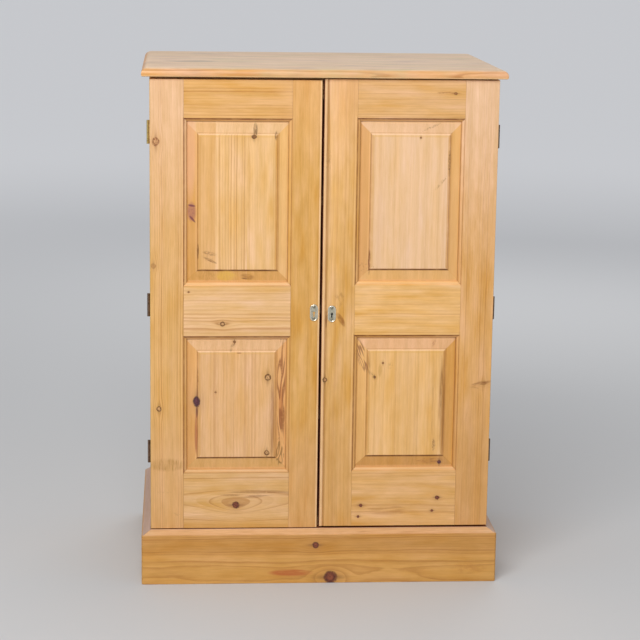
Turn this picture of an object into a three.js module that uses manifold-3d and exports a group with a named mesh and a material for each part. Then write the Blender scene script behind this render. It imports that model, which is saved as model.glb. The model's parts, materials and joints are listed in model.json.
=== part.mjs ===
// A free-standing pine jelly cupboard: a carcass on a bevelled plinth, a moulded top board, and
// two framed doors with raised panels, hung on butt hinges with a lock and two barrel bolts.
// Millimetres. X runs to the right, Y from the front to the back, Z up from the floor.
// The origin is on the floor, under the middle of the outer box.

import * as THREE from 'three';
import { mergeVertices } from 'three/addons/utils/BufferGeometryUtils.js';
import Module from 'manifold-3d';

const wasm = await Module();
wasm.setup();

// Clearances. Every pair of pieces that meet keeps one of the first two between them. Cutters run
// past what they cut by the overrun, and pieces that are joined overlap by the root.
const fit = 0.3;
const panelPlay = 0.6;
const overrun = 4;
const root = 1;

// Carcass.
const carcassWidth = 740;
const carcassDepth = 497;
const carcassHeight = 1105.8;
const sideThickness = 20;
const housingDepth = 8;
const bottomBoardRise = 18;
const bottomBoardThickness = 20;
const topRailHeight = 46;
const topRailThickness = 22;

// Top board. Its upper edge is worked with a broad round on the front and both ends.
const topThickness = 19;
const topOverhangSide = 17;
const topOverhangFront = 10;
const topRoundAcross = 17;
const topRoundRise = 12;
const topLowerRound = 3;
const roundSteps = 8;
const smallRoundSteps = 3;

// Plinth, mitred at its front corners and bevelled up to the carcass.
const plinthThickness = 20;
const plinthArrisHeight = 111;
const plinthTop = 120;
const plinthArrisRound = 2.5;
const plinthCornerRound = 4;
const baseBlockLeg = 40;
const baseBlockFlat = 9;
const baseBlockHeight = 96;

// Back, of tongued and grooved boards in a rebate.
const backBoardCount = 4;
const backBoardThickness = 12;
const backRebate = 10;
const backFloorGap = 25;
const tongueLength = 5;
const tongueThickness = 4;
const boardChamfer = 2;

// Shelves on cleats.
const shelfThickness = 18;
const shelfSetback = 26;
const shelfTops = { lower: 372, middle: 610, upper: 846 };
const cleatThickness = 18;
const cleatHeight = 24;
const cleatSetback = 14;
const cleatChamfer = 12;

// Doors. The right-hand door carries a bead on its meeting edge, so it is the wider one.
const doorThickness = 22;
const doorBackGap = 1;
const doorMeetingGap = 4;
const doorTopGap = 2.8;
const leftDoorFloorGap = 1.5;
const rightDoorFloorGap = 4;
const hingeStile = 71.5;
const meetingStile = 63;
const beadWidth = 8;
const quirkWidth = 1.8;
const quirkDepth = 2;
const bottomRail = 125.5;
const middleRail = 110;
const topRail = 81;
const lowerOpening = 304;
const tenonToLock = 3;
const tenonShoulder = 14;

// Moulding worked on the inner edges of the door frames, and the groove behind it.
const stickWidth = 7;
const stickStep = 1.5;
const stickLip = 1;
const stickSteps = 5;
const grooveFront = 8.2;
const panelTongue = 6;

// Raised panels.
const fieldMarginAcross = 30;
const fieldMarginUp = 33.5;
const fieldDepth = 2;
const shoulderDepth = 2.5;
const shoulderWidth = 1.6;

// Butt hinges, three to a door. Their middles are measured from the bottom, middle and top of it.
const hingeFromBottom = { left: 169, right: 166 };
const hingeFromMiddle = { left: 4.5, right: -4.5 };
const hingeFromTop = { left: 113, right: 121 };
const hingeLength = 50;
const leafWidth = 17;
const leafThickness = 1.5;
const knuckleRadius = 3;
const pinRadius = 1.4;
const endKnuckleShare = 0.2;
const hingeFacets = 20;

// Keyhole plates and the lock in the right-hand door.
const keyholeBackset = 22;
const keyholeHeight = 476;
const dummyPlateHeight = 481;
const dummyPlateInset = 12.6;
const plateWidth = 18;
const plateHeight = 37;
const plateThickness = 1.3;
const plateChamfer = 0.5;
const keyholeRadius = 2.7;
const keyholeSlotWidth = 2.5;
const keyholeSlotLength = 9;
const lockCaseWidth = 37;
const lockCaseHeight = 52;
const lockCaseDepth = 11;
const lockPlateOverlap = 5;
const lockPlateThickness = 1.5;
const selvedgeWidth = 12;
const drillPinRadius = 1.4;
const drillPinSetback = 2.5;
const lockBoltHeight = 15;
const lockBoltThickness = 5.5;
const lockBoltLength = 24;
const lockBoltRise = 6;
const lockBoltThrow = 10;
const strikePlateLength = 46;
const strikePlateThickness = 1.2;
const strikeSocketSpare = 3;

// Barrel bolts on the back of the left-hand door.
const boltPlateWidth = 25;
const boltPlateHeight = 58;
const boltPlateThickness = 1.5;
const boltLoopHeight = 14;
const boltLoopWidth = 14;
const boltLoopWall = 2.6;
const boltRadius = 4;
const boltStandOff = 9;
const boltTail = 6;
const boltRest = 3;
const boltKnobRadius = 3.2;
const boltKnobLength = 9;
const boltInset = 34;
const boltSocketPlay = 0.6;
const boltSocketSpare = 6;
const boltFacets = 24;

// Sizes that follow from the ones above.
const halfWidth = carcassWidth / 2;
const innerHalfWidth = halfWidth - sideThickness;
const overallDepth = plinthThickness + doorThickness + doorBackGap + carcassDepth;
const plinthFaceY = -overallDepth / 2;
const doorFaceY = plinthFaceY + plinthThickness;
const carcassFrontY = doorFaceY + doorThickness + doorBackGap;
const backY = carcassFrontY + carcassDepth;
const backInnerY = backY - backBoardThickness;
const bottomBoardTop = plinthTop + bottomBoardRise;
const bottomBoardLow = bottomBoardTop - bottomBoardThickness;
const topRailLow = carcassHeight - topRailHeight;
const shelfFrontY = carcassFrontY + shelfSetback;
const grooveBack = grooveFront + panelTongue + 2 * fit;
const leftDoorBottom = plinthTop + leftDoorFloorGap;
const rightDoorBottom = plinthTop + rightDoorFloorGap;
const doorHeight = carcassHeight - doorTopGap - rightDoorBottom;
const tenonLength = meetingStile + beadWidth - lockCaseWidth - lockPlateOverlap - tenonToLock;
const openingWidth = (carcassWidth - doorMeetingGap - beadWidth) / 2 - hingeStile - meetingStile;
const upperOpening = doorHeight - bottomRail - lowerOpening - middleRail - topRail;
const openingEnd = hingeStile + openingWidth;
const leftDoorWidth = openingEnd + meetingStile;
const rightDoorWidth = leftDoorWidth + beadWidth;
const openings = {
  lower: { low: bottomRail, high: bottomRail + lowerOpening },
  upper: { low: doorHeight - topRail - upperOpening, high: doorHeight - topRail },
};
const rails = {
  bottom: { low: 0, high: openings.lower.low },
  middle: { low: openings.lower.high, high: openings.upper.low },
  top: { low: openings.upper.high, high: doorHeight },
};
const hingeHeights = (side) => ({
  lower: hingeFromBottom[side],
  middle: doorHeight / 2 + hingeFromMiddle[side],
  upper: doorHeight - hingeFromTop[side],
});
const hingeAxisOut = knuckleRadius + fit;
const hingeAxisY = doorThickness + doorBackGap / 2;
const endKnuckle = hingeLength * endKnuckleShare;
const boltThrow = boltPlateHeight - 2 * boltLoopHeight - 2 * boltKnobRadius - 2 * fit;
const boltLength = boltPlateHeight + boltTail + boltRest;
const boltCentreDepth = doorThickness + boltStandOff;
const boltX = -halfWidth + leftDoorWidth - boltInset;
const boltSocketRadius = boltRadius + boltSocketPlay;

// Solids.

// A closed geometry becomes a solid. One that a mirroring has turned inside out is turned back.
function solid(geometry) {
  geometry.deleteAttribute('normal');
  geometry.deleteAttribute('uv');
  const merged = mergeVertices(geometry);
  const points = merged.getAttribute('position');
  const corners = Array.from(merged.getIndex().array);
  const [a, b, c] = [new THREE.Vector3(), new THREE.Vector3(), new THREE.Vector3()];
  let volume = 0;
  for (let i = 0; i < corners.length; i += 3) {
    a.fromBufferAttribute(points, corners[i]);
    b.fromBufferAttribute(points, corners[i + 1]);
    c.fromBufferAttribute(points, corners[i + 2]);
    volume += a.dot(b.cross(c));
  }
  if (volume < 0) corners.reverse();
  return new wasm.Manifold(new wasm.Mesh({
    numProp: 3,
    vertProperties: new Float32Array(points.array),
    triVerts: new Uint32Array(corners),
  }));
}

function geometryOf(body) {
  const { vertProperties, triVerts } = body.getMesh();
  const geometry = new THREE.BufferGeometry();
  geometry.setAttribute('position', new THREE.BufferAttribute(new Float32Array(vertProperties), 3));
  geometry.setIndex(new THREE.BufferAttribute(new Uint32Array(triVerts), 1));
  return geometry;
}

function joined(...bodies) {
  return bodies.reduce((whole, body) => whole.add(body));
}

function cut(body, ...cutters) {
  return cutters.reduce((rest, cutter) => rest.subtract(cutter), body);
}

function moved(body, x, y, z) {
  return solid(geometryOf(body).translate(x, y, z));
}

function mirroredX(body) {
  return solid(geometryOf(body).scale(-1, 1, 1));
}

function block(lowX, highX, lowY, highY, lowZ, highZ) {
  const geometry = new THREE.BoxGeometry(highX - lowX, highY - lowY, highZ - lowZ);
  return solid(geometry.translate((lowX + highX) / 2, (lowY + highY) / 2, (lowZ + highZ) / 2));
}

// A round bar that starts at a point and runs along an axis given as a unit vector.
function bar(radius, length, start, axis, facets = boltFacets) {
  const geometry = new THREE.CylinderGeometry(radius, radius, length, facets).translate(0, length / 2, 0);
  geometry.applyQuaternion(new THREE.Quaternion().setFromUnitVectors(new THREE.Vector3(0, 1, 0), axis));
  return solid(geometry.translate(start.x, start.y, start.z));
}

// Extrudes an outline, then lays its x, y and length along three directions from an origin.
function prism(outline, length, xTo, yTo, lengthTo, origin, mitre = [0, 0]) {
  const geometry = new THREE.ExtrudeGeometry(outline, { depth: length, bevelEnabled: false });
  const points = geometry.getAttribute('position');
  for (let i = 0; i < points.count; i += 1) {
    const across = points.getX(i);
    const atEnd = points.getZ(i) > length / 2;
    const shift = atEnd ? -across * mitre[1] : across * mitre[0];
    points.setZ(i, points.getZ(i) + shift);
  }
  geometry.applyMatrix4(new THREE.Matrix4().makeBasis(xTo, yTo, lengthTo).setPosition(origin));
  return solid(geometry);
}

// Joins a stack of four-cornered rings into one closed body.
function loft(rings) {
  const corners = rings[0].length;
  const triangles = [];
  for (let ring = 0; ring + 1 < rings.length; ring += 1) {
    for (let i = 0; i < corners; i += 1) {
      const next = (i + 1) % corners;
      const [low, high] = [ring * corners, (ring + 1) * corners];
      triangles.push(low + i, low + next, high + next, low + i, high + next, high + i);
    }
  }
  const last = (rings.length - 1) * corners;
  for (let i = 1; i + 1 < corners; i += 1) {
    triangles.push(0, i + 1, i, last, last + i, last + i + 1);
  }
  const geometry = new THREE.BufferGeometry();
  geometry.setAttribute('position', new THREE.Float32BufferAttribute(rings.flat(2), 3));
  geometry.setIndex(triangles);
  return solid(geometry);
}

function outlineOf(points) {
  return new THREE.Shape(points.map(([x, y]) => new THREE.Vector2(x, y)));
}

// Points of a quarter ellipse from [startX, startY] to [endX, endY], bulging to the given corner.
function quarterRound(startX, startY, endX, endY, leavesAlongX, steps) {
  const points = [];
  for (let i = 0; i <= steps; i += 1) {
    const turn = (i / steps) * (Math.PI / 2);
    const [late, early] = [1 - Math.cos(turn), Math.sin(turn)];
    const [shareX, shareY] = leavesAlongX ? [early, late] : [late, early];
    points.push([startX + (endX - startX) * shareX, startY + (endY - startY) * shareY]);
  }
  return points;
}

const alongX = new THREE.Vector3(1, 0, 0);
const alongY = new THREE.Vector3(0, 1, 0);
const alongZ = new THREE.Vector3(0, 0, 1);
const againstX = new THREE.Vector3(-1, 0, 0);
const againstZ = new THREE.Vector3(0, 0, -1);

// Finishes.
function finish(color, roughness, metalness) {
  return new THREE.MeshStandardMaterial({ color, roughness, metalness });
}

const finishes = {
  doorPine: () => finish(0xdba768, 0.5, 0),
  panelPine: () => finish(0xe2b27a, 0.5, 0),
  plinthPine: () => finish(0xc69350, 0.5, 0),
  topPine: () => finish(0xd0a56c, 0.4, 0),
  innerPine: () => finish(0xd9b27c, 0.7, 0),
  nickel: () => finish(0xb5b3ab, 0.35, 1),
  brass: () => finish(0xb08d45, 0.4, 1),
  darkSteel: () => finish(0x5a4a3a, 0.5, 1),
  steel: () => finish(0x8d8b86, 0.45, 1),
};

function piece(name, body, material) {
  const geometry = geometryOf(body).toNonIndexed();
  geometry.computeVertexNormals();
  const mesh = new THREE.Mesh(geometry, material());
  mesh.name = name;
  return mesh;
}

// Carcass pieces.

// A side, built as the left-hand one with its outer face at x = 0.
function sidePanel(hinges, doorBottom) {
  const inner = sideThickness;
  const body = block(0, inner, carcassFrontY, backY, 0, carcassHeight - fit);
  const housing = (lowY, highY, lowZ, highZ) => (
    block(inner - housingDepth, inner + overrun, lowY, highY, lowZ, highZ)
  );
  const frontEdge = carcassFrontY - overrun;
  const bottomHousing = housing(frontEdge, backInnerY, bottomBoardLow - fit, bottomBoardTop + fit);
  const topEdge = carcassHeight + overrun;
  const frontRailBack = carcassFrontY + topRailThickness + fit;
  const backRailFront = backInnerY - topRailThickness - fit;
  const frontRailHousing = housing(frontEdge, frontRailBack, topRailLow - fit, topEdge);
  const backRailHousing = housing(backRailFront, backInnerY, topRailLow - fit, topEdge);
  const rebate = block(inner - backRebate, inner + overrun, backInnerY - fit, backY + overrun,
    -overrun, topEdge);
  const mortises = Object.values(hinges).map((height) => {
    const middle = doorBottom + height;
    const reach = hingeLength / 2 + fit;
    const back = carcassFrontY + leafThickness + fit;
    return block(-overrun, leafWidth + fit, frontEdge, back, middle - reach, middle + reach);
  });
  return cut(body, bottomHousing, frontRailHousing, backRailHousing, rebate, ...mortises);
}

// The hole that a barrel bolt shoots into, upwards or downwards from a face.
function boltSocket(faceZ, axis, depth) {
  const start = new THREE.Vector3(boltX, doorFaceY + boltCentreDepth, faceZ).addScaledVector(axis, -overrun);
  return bar(boltSocketRadius, depth + overrun, start, axis);
}

function bottomBoard() {
  const reach = innerHalfWidth + housingDepth - fit;
  const board = block(-reach, reach, carcassFrontY, backInnerY - fit, bottomBoardLow, bottomBoardTop);
  return cut(board, boltSocket(bottomBoardTop, againstZ, bottomBoardThickness + overrun));
}

function topRailBody(lowY) {
  const reach = innerHalfWidth + housingDepth - fit;
  return block(-reach, reach, lowY, lowY + topRailThickness, topRailLow, carcassHeight - fit);
}

function topFrontRail() {
  return cut(topRailBody(carcassFrontY), boltSocket(topRailLow, alongZ, boltThrow + boltSocketSpare));
}

function topBackRail() {
  return topRailBody(backInnerY - fit - topRailThickness);
}

// The top board, as a stack of plan outlines that follow its edge profile upwards.
function topBoard() {
  const upperStart = topThickness - topRoundRise;
  const profile = [
    ...quarterRound(topLowerRound, 0, 0, topLowerRound, true, smallRoundSteps),
    ...quarterRound(0, upperStart, topRoundAcross, topThickness, false, roundSteps),
  ];
  const rings = profile.map(([inset, rise]) => {
    const x = halfWidth + topOverhangSide - inset;
    const front = doorFaceY - topOverhangFront + inset;
    const z = carcassHeight + rise;
    return [[-x, front, z], [x, front, z], [x, backY, z], [-x, backY, z]];
  });
  return loft(rings);
}

// The plinth's section: x inwards from the outer face, y up.
function plinthSection() {
  const inner = plinthThickness - fit;
  return outlineOf([
    [0, 0],
    ...quarterRound(0, plinthArrisHeight - plinthArrisRound, plinthArrisRound, plinthArrisHeight, false,
      smallRoundSteps),
    [inner, plinthTop],
    [inner, 0],
  ]);
}

// Cuts the sharp vertical corner of the plinth to a round. It is built for the left-hand corner.
function plinthCornerCutter() {
  const [cornerX, cornerY] = [-halfWidth - plinthThickness, plinthFaceY];
  const round = quarterRound(cornerX, cornerY + plinthCornerRound, cornerX + plinthCornerRound, cornerY,
    false, smallRoundSteps);
  const outline = outlineOf([
    ...round,
    [cornerX + plinthCornerRound, cornerY - overrun],
    [cornerX - overrun, cornerY - overrun],
    [cornerX - overrun, cornerY + plinthCornerRound],
  ]);
  const start = new THREE.Vector3(0, 0, -overrun);
  return prism(outline, plinthTop + 2 * overrun, alongX, alongY, alongZ, start);
}

function plinthFront() {
  const length = carcassWidth + 2 * plinthThickness - 2 * fit;
  const start = new THREE.Vector3(-length / 2, plinthFaceY, 0);
  const board = prism(plinthSection(), length, alongY, alongZ, alongX, start, [1, 1]);
  const corner = plinthCornerCutter();
  return cut(board, corner, mirroredX(corner));
}

function plinthSide() {
  const length = overallDepth - fit;
  const start = new THREE.Vector3(-halfWidth - plinthThickness, plinthFaceY + fit, 0);
  const board = prism(plinthSection(), length, alongX, alongZ, alongY, start, [1, 0]);
  return cut(board, plinthCornerCutter());
}

// The rail that packs the plinth out to the plane of the doors.
function baseFrontRail() {
  return block(-halfWidth, halfWidth, doorFaceY, carcassFrontY - fit, 0, plinthTop);
}

// A glue block with its two right-angled faces against the side and the front rail.
function baseBlock() {
  const [cornerX, cornerY] = [-innerHalfWidth + fit, carcassFrontY];
  const outline = outlineOf([
    [cornerX, cornerY],
    [cornerX + baseBlockLeg, cornerY],
    [cornerX + baseBlockLeg, cornerY + baseBlockFlat],
    [cornerX + baseBlockFlat, cornerY + baseBlockLeg],
    [cornerX, cornerY + baseBlockLeg],
  ]);
  const start = new THREE.Vector3(0, 0, bottomBoardLow - fit - baseBlockHeight);
  return prism(outline, baseBlockHeight, alongX, alongY, alongZ, start);
}

// One back board seen from above, with its tongue to the right and its groove to the left.
function backBoard(index) {
  const span = 2 * (innerHalfWidth + backRebate - fit);
  const pitch = span / backBoardCount;
  const low = -span / 2 + index * pitch + (index > 0 ? fit : 0);
  const high = -span / 2 + (index + 1) * pitch;
  const [front, back] = [backInnerY, backY];
  const middle = (front + back) / 2;
  const tongue = tongueThickness / 2;
  const groove = tongue + fit;
  const points = [[low + boardChamfer, front], [high - boardChamfer, front], [high, front + boardChamfer]];
  if (index + 1 < backBoardCount) {
    points.push([high, middle - tongue], [high + tongueLength, middle - tongue],
      [high + tongueLength, middle + tongue], [high, middle + tongue]);
  }
  points.push([high, back], [low, back]);
  if (index > 0) {
    const deep = low + tongueLength + fit;
    points.push([low, middle + groove], [deep, middle + groove], [deep, middle - groove],
      [low, middle - groove]);
  }
  points.push([low, front + boardChamfer]);
  const start = new THREE.Vector3(0, 0, backFloorGap);
  const height = carcassHeight - fit - backFloorGap;
  return prism(outlineOf(points), height, alongX, alongY, alongZ, start);
}

function shelf(top) {
  const reach = innerHalfWidth - fit;
  return block(-reach, reach, shelfFrontY, backInnerY - fit, top - shelfThickness, top);
}

// A cleat under the left-hand end of a shelf, with its front corner cut away.
function cleat(shelfTop) {
  const top = shelfTop - shelfThickness - fit;
  const [front, back] = [shelfFrontY + cleatSetback, backInnerY - fit];
  const outline = outlineOf([
    [front, top],
    [front, top - cleatHeight + cleatChamfer],
    [front + cleatChamfer, top - cleatHeight],
    [back, top - cleatHeight],
    [back, top],
  ]);
  const start = new THREE.Vector3(-innerHalfWidth + fit, 0, 0);
  return prism(outline, cleatThickness - fit, alongY, alongZ, alongX, start);
}

// Door pieces. A door is built with its hinge edge at x = 0, its face at y = 0 and its bottom at
// z = 0, for the left-hand side. The right-hand door is the mirror image.

// The moulding's face: a small step down from the door's face, then a quarter round.
function stickProfile() {
  return quarterRound(0, stickStep, stickWidth, grooveFront - stickLip, true, stickSteps);
}

// The moulding and the back wall of the panel groove along one side of an opening. "inwards" points
// into the opening and "along" follows the side from its start.
function sticking(length, inwards, along, start) {
  const run = length - 2 * fit;
  const from = start.clone().addScaledVector(along, fit);
  const front = outlineOf([
    [-root, stickStep], ...stickProfile(), [stickWidth, grooveFront], [-root, grooveFront],
  ]);
  const back = outlineOf([
    [-root, grooveBack], [stickWidth, grooveBack], [stickWidth, doorThickness], [-root, doorThickness],
  ]);
  return joined(
    prism(front, run, inwards, alongY, along, from, [1, 1]),
    prism(back, run, inwards, alongY, along, from, [1, 1]),
  );
}

// The tenon at one end of a rail, or with play the mortise that takes it. It starts at a stile's
// inner edge and runs into the stile.
function tenon(rail, fromX, toX, play) {
  const low = rail.low + (rail.low > 0 ? stickWidth : tenonShoulder) - play;
  const high = rail.high - (rail.high < doorHeight ? stickWidth : tenonShoulder) + play;
  return block(fromX, toX, grooveFront + fit - play, grooveBack - fit + play, low, high);
}

function hingeStileBody(hinges) {
  const body = block(0, hingeStile, 0, doorThickness, 0, doorHeight);
  const moulded = Object.values(openings).map(({ low, high }) => (
    sticking(high - low, alongX, alongZ, new THREE.Vector3(hingeStile, 0, low))
  ));
  const mortises = Object.values(rails).map((rail) => (
    tenon(rail, hingeStile - tenonLength - fit, hingeStile + overrun, fit)
  ));
  const recesses = Object.values(hinges).map((height) => {
    const reach = hingeLength / 2 + fit;
    const front = doorThickness - leafThickness - fit;
    const back = doorThickness + overrun;
    return block(-overrun, leafWidth + fit, front, back, height - reach, height + reach);
  });
  return cut(joined(body, ...moulded), ...mortises, ...recesses);
}

function meetingStileBody(width) {
  const body = block(openingEnd, width, 0, doorThickness, 0, doorHeight);
  const moulded = Object.values(openings).map(({ low, high }) => (
    sticking(high - low, againstX, alongZ, new THREE.Vector3(openingEnd, 0, low))
  ));
  const mortises = Object.values(rails).map((rail) => (
    tenon(rail, openingEnd - overrun, openingEnd + tenonLength + fit, fit)
  ));
  return cut(joined(body, ...moulded), ...mortises);
}

// Leaves a bead with a quirk beside it on the front of the meeting edge.
function beadCutter() {
  const radius = beadWidth / 2;
  const start = rightDoorWidth - beadWidth;
  const outline = outlineOf([
    [start - quirkWidth, -overrun],
    [start - quirkWidth, quirkDepth],
    [start, quirkDepth],
    ...quarterRound(start, radius, start + radius, 0, false, roundSteps).slice(1),
    ...quarterRound(start + radius, 0, rightDoorWidth, radius, true, roundSteps).slice(1),
    [rightDoorWidth + overrun, radius],
    [rightDoorWidth + overrun, -overrun],
  ]);
  const from = new THREE.Vector3(0, 0, -overrun);
  return prism(outline, doorHeight + 2 * overrun, alongX, alongY, alongZ, from);
}

// Cuts the end of a rail to its shoulder, and its moulded edges to their mitres. "into" is 1 where
// the rail lies to the right of the shoulder, and -1 where it lies to the left.
function shoulderCutter(rail, shoulderX, into) {
  const reach = stickWidth + overrun;
  const outline = outlineOf([
    [shoulderX + into * reach, rail.low - reach],
    [shoulderX, rail.low],
    [shoulderX, rail.high],
    [shoulderX + into * reach, rail.high + reach],
    [shoulderX - into * reach, rail.high + reach],
    [shoulderX - into * reach, rail.low - reach],
  ]);
  const start = new THREE.Vector3(0, -overrun, 0);
  return prism(outline, doorThickness + 2 * overrun, alongX, alongZ, alongY, start);
}

// A rail's section: x up the door, y from the face backwards, with its mouldings and grooves.
function railSection(rail) {
  const moulded = (edge, out) => [
    [edge, 0],
    ...stickProfile().map(([across, depth]) => [edge + out * across, depth]),
    [edge + out * stickWidth, grooveFront],
    [edge, grooveFront],
    [edge, grooveBack],
    [edge + out * stickWidth, grooveBack],
    [edge + out * stickWidth, doorThickness],
  ];
  const plain = (edge) => [[edge, 0], [edge, doorThickness]];
  const lowSide = rail.low > 0 ? moulded(rail.low, -1) : plain(rail.low);
  const highSide = rail.high < doorHeight ? moulded(rail.high, 1) : plain(rail.high);
  return outlineOf([...lowSide.reverse(), ...highSide]);
}

function railBody(rail) {
  const [start, end] = [hingeStile + fit, openingEnd - fit];
  const blank = prism(railSection(rail), end - start + 2 * root, alongZ, alongY, alongX,
    new THREE.Vector3(start - root, 0, 0));
  return joined(
    cut(blank, shoulderCutter(rail, start, 1), shoulderCutter(rail, end, -1)),
    tenon(rail, hingeStile - tenonLength, start + root, 0),
    tenon(rail, end - root, openingEnd + tenonLength, 0),
  );
}

// A raised panel: a tongue all round, a bevel up to a small shoulder, and a flat field.
function raisedPanel({ low, high }) {
  const ring = (insetAcross, insetUp, depth) => {
    const [left, right] = [hingeStile + insetAcross, openingEnd - insetAcross];
    const [bottom, top] = [low + insetUp, high - insetUp];
    return [[left, depth, bottom], [right, depth, bottom], [right, depth, top], [left, depth, top]];
  };
  const tongueFront = grooveFront + fit;
  const shoulderFoot = fieldDepth + shoulderDepth;
  return loft([
    ring(panelPlay, panelPlay, tongueFront + panelTongue),
    ring(panelPlay, panelPlay, tongueFront),
    ring(stickWidth, stickWidth, tongueFront),
    ring(fieldMarginAcross, fieldMarginUp, shoulderFoot),
    ring(fieldMarginAcross + shoulderWidth, fieldMarginUp + shoulderWidth, fieldDepth),
  ]);
}

// A hinge leaf at the axis: "knuckles" are its stretches of the barrel, from its bottom end.
function hingeLeaf(knuckles, plateFrontY) {
  const plateStart = hingeAxisOut;
  const plate = block(plateStart, plateStart + leafWidth, plateFrontY, plateFrontY + leafThickness,
    0, hingeLength);
  const barrels = knuckles.flatMap(([low, high]) => [
    bar(knuckleRadius, high - low, new THREE.Vector3(0, 0, low), alongZ, hingeFacets),
    block(knuckleRadius / 2, plateStart + root, plateFrontY, plateFrontY + leafThickness, low, high),
  ]);
  return joined(plate, ...barrels);
}

function fixedLeaf() {
  const leaf = hingeLeaf([[0, endKnuckle], [hingeLength - endKnuckle, hingeLength]], doorBackGap / 2);
  const pin = bar(pinRadius, hingeLength - 2 * root, new THREE.Vector3(0, 0, root), alongZ, hingeFacets);
  return joined(leaf, pin);
}

function doorLeaf() {
  const barrel = [endKnuckle + fit, hingeLength - endKnuckle - fit];
  const leaf = hingeLeaf([barrel], -doorBackGap / 2 - leafThickness);
  const bore = bar(pinRadius + fit, hingeLength + 2 * overrun, new THREE.Vector3(0, 0, -overrun), alongZ,
    hingeFacets);
  return cut(leaf, bore);
}

// The keyhole, centred on a point of the door's face and running from one depth to another.
function keyhole(x, z, fromY, toY) {
  const half = keyholeSlotWidth / 2;
  const shoulder = Math.asin(half / keyholeRadius);
  const outline = new THREE.Shape();
  outline.absarc(0, 0, keyholeRadius, shoulder - Math.PI / 2, 3 * Math.PI / 2 - shoulder, false);
  outline.lineTo(-half, -keyholeSlotLength);
  outline.lineTo(half, -keyholeSlotLength);
  outline.closePath();
  const start = new THREE.Vector3(x, fromY, z);
  return prism(outline, toY - fromY, alongX, alongZ, alongY, start);
}

// A stadium-shaped plate with a bevelled edge, seated on the door's face.
function keyholePlate(x, z) {
  const ring = (inset, depth) => {
    const half = plateWidth / 2 - inset;
    const rise = plateHeight / 2 - plateWidth / 2;
    const points = [];
    for (const [middle, turn] of [[rise, 0], [-rise, Math.PI]]) {
      for (let i = 0; i <= roundSteps; i += 1) {
        const angle = turn + (i / roundSteps) * Math.PI;
        points.push([x + half * Math.cos(angle), depth, z + middle + half * Math.sin(angle)]);
      }
    }
    return points;
  };
  const plate = loft([
    ring(0, -fit), ring(0, -plateThickness + plateChamfer), ring(plateChamfer, -plateThickness),
  ]);
  return cut(plate, keyhole(x, z, -plateThickness - overrun, overrun));
}

// Where the lock sits in its door: the keyhole, and the depths of its case and bolt.
const keyholeX = rightDoorWidth - keyholeBackset;
const lockCaseBack = doorThickness - lockPlateThickness;
const lockCaseFront = lockCaseBack - lockCaseDepth;
const lockCaseLow = keyholeHeight - lockCaseHeight / 2;
const lockBoltLow = keyholeHeight + lockBoltRise;
const lockBoltFront = (lockCaseFront + lockCaseBack - lockBoltThickness) / 2;

// The lock's outer shape, or with play the recess that takes it.
function lockShape(play) {
  const edge = rightDoorWidth + (play > 0 ? overrun : 0);
  const back = doorThickness + (play > 0 ? overrun : 0);
  const [low, high] = [lockCaseLow - play, lockCaseLow + lockCaseHeight + play];
  const [plateLow, plateHigh] = [low - lockPlateOverlap, high + lockPlateOverlap];
  const inner = rightDoorWidth - lockCaseWidth - play;
  return joined(
    block(inner, edge, lockCaseFront - play, back, low, high),
    block(inner - lockPlateOverlap, edge, lockCaseBack - play, back, plateLow, plateHigh),
    block(rightDoorWidth - lockPlateThickness - play, edge, doorThickness - selvedgeWidth - play, back,
      plateLow, plateHigh),
  );
}

// A bolt-shaped block that reaches from the bolt's tail to a given x.
function lockBoltBlock(toX, play) {
  return block(rightDoorWidth - lockBoltLength - play, toX, lockBoltFront - play,
    lockBoltFront + lockBoltThickness + play, lockBoltLow - play, lockBoltLow + lockBoltHeight + play);
}

function lockCase() {
  const channel = lockBoltBlock(rightDoorWidth + overrun, fit);
  const hole = keyhole(keyholeX, keyholeHeight, lockCaseFront - overrun, lockCaseBack);
  const drillPin = bar(drillPinRadius, lockCaseBack + root - drillPinSetback,
    new THREE.Vector3(keyholeX, drillPinSetback, keyholeHeight), alongY, hingeFacets);
  return joined(cut(lockShape(0), channel, hole), drillPin);
}

function lockBolt() {
  return lockBoltBlock(rightDoorWidth - fit, 0);
}

// The strike plate lies in the left-hand door's meeting edge, at the height of the lock bolt.
const strikeMiddle = rightDoorBottom - leftDoorBottom + lockBoltLow + lockBoltHeight / 2;
const strikeFront = doorThickness - selvedgeWidth;
const strikeSocketDepth = lockBoltThrow - doorMeetingGap + strikeSocketSpare;

function strikeShape(play) {
  const reach = strikePlateLength / 2 + play;
  const toX = leftDoorWidth + (play > 0 ? overrun : 0);
  return block(leftDoorWidth - strikePlateThickness - play, toX, strikeFront - play,
    doorThickness - fit + play, strikeMiddle - reach, strikeMiddle + reach);
}

function strikeSocket() {
  const reach = lockBoltHeight / 2 + 2 * fit;
  return block(leftDoorWidth - strikeSocketDepth, leftDoorWidth + overrun, lockBoltFront - 2 * fit,
    lockBoltFront + lockBoltThickness + 2 * fit, strikeMiddle - reach, strikeMiddle + reach);
}

function strikePlate() {
  return cut(strikeShape(0), strikeSocket());
}

// Barrel bolts, built pointing up with the foot of their plate at z = 0 and their plate's back on
// the door's back face. The lower one is turned over.
function boltBody() {
  const half = boltPlateWidth / 2;
  const back = doorThickness + fit;
  const plate = block(-half, half, back, back + boltPlateThickness, 0, boltPlateHeight);
  const loopHalf = boltLoopWidth / 2;
  const loopBack = boltCentreDepth + boltRadius + boltLoopWall;
  const loops = [0, boltPlateHeight - boltLoopHeight].map((low) => (
    block(-loopHalf, loopHalf, back + boltPlateThickness - root, loopBack, low, low + boltLoopHeight)
  ));
  const bore = bar(boltRadius + fit, boltPlateHeight + 2 * overrun,
    new THREE.Vector3(0, boltCentreDepth, -overrun), alongZ);
  return cut(joined(plate, ...loops), bore);
}

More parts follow.
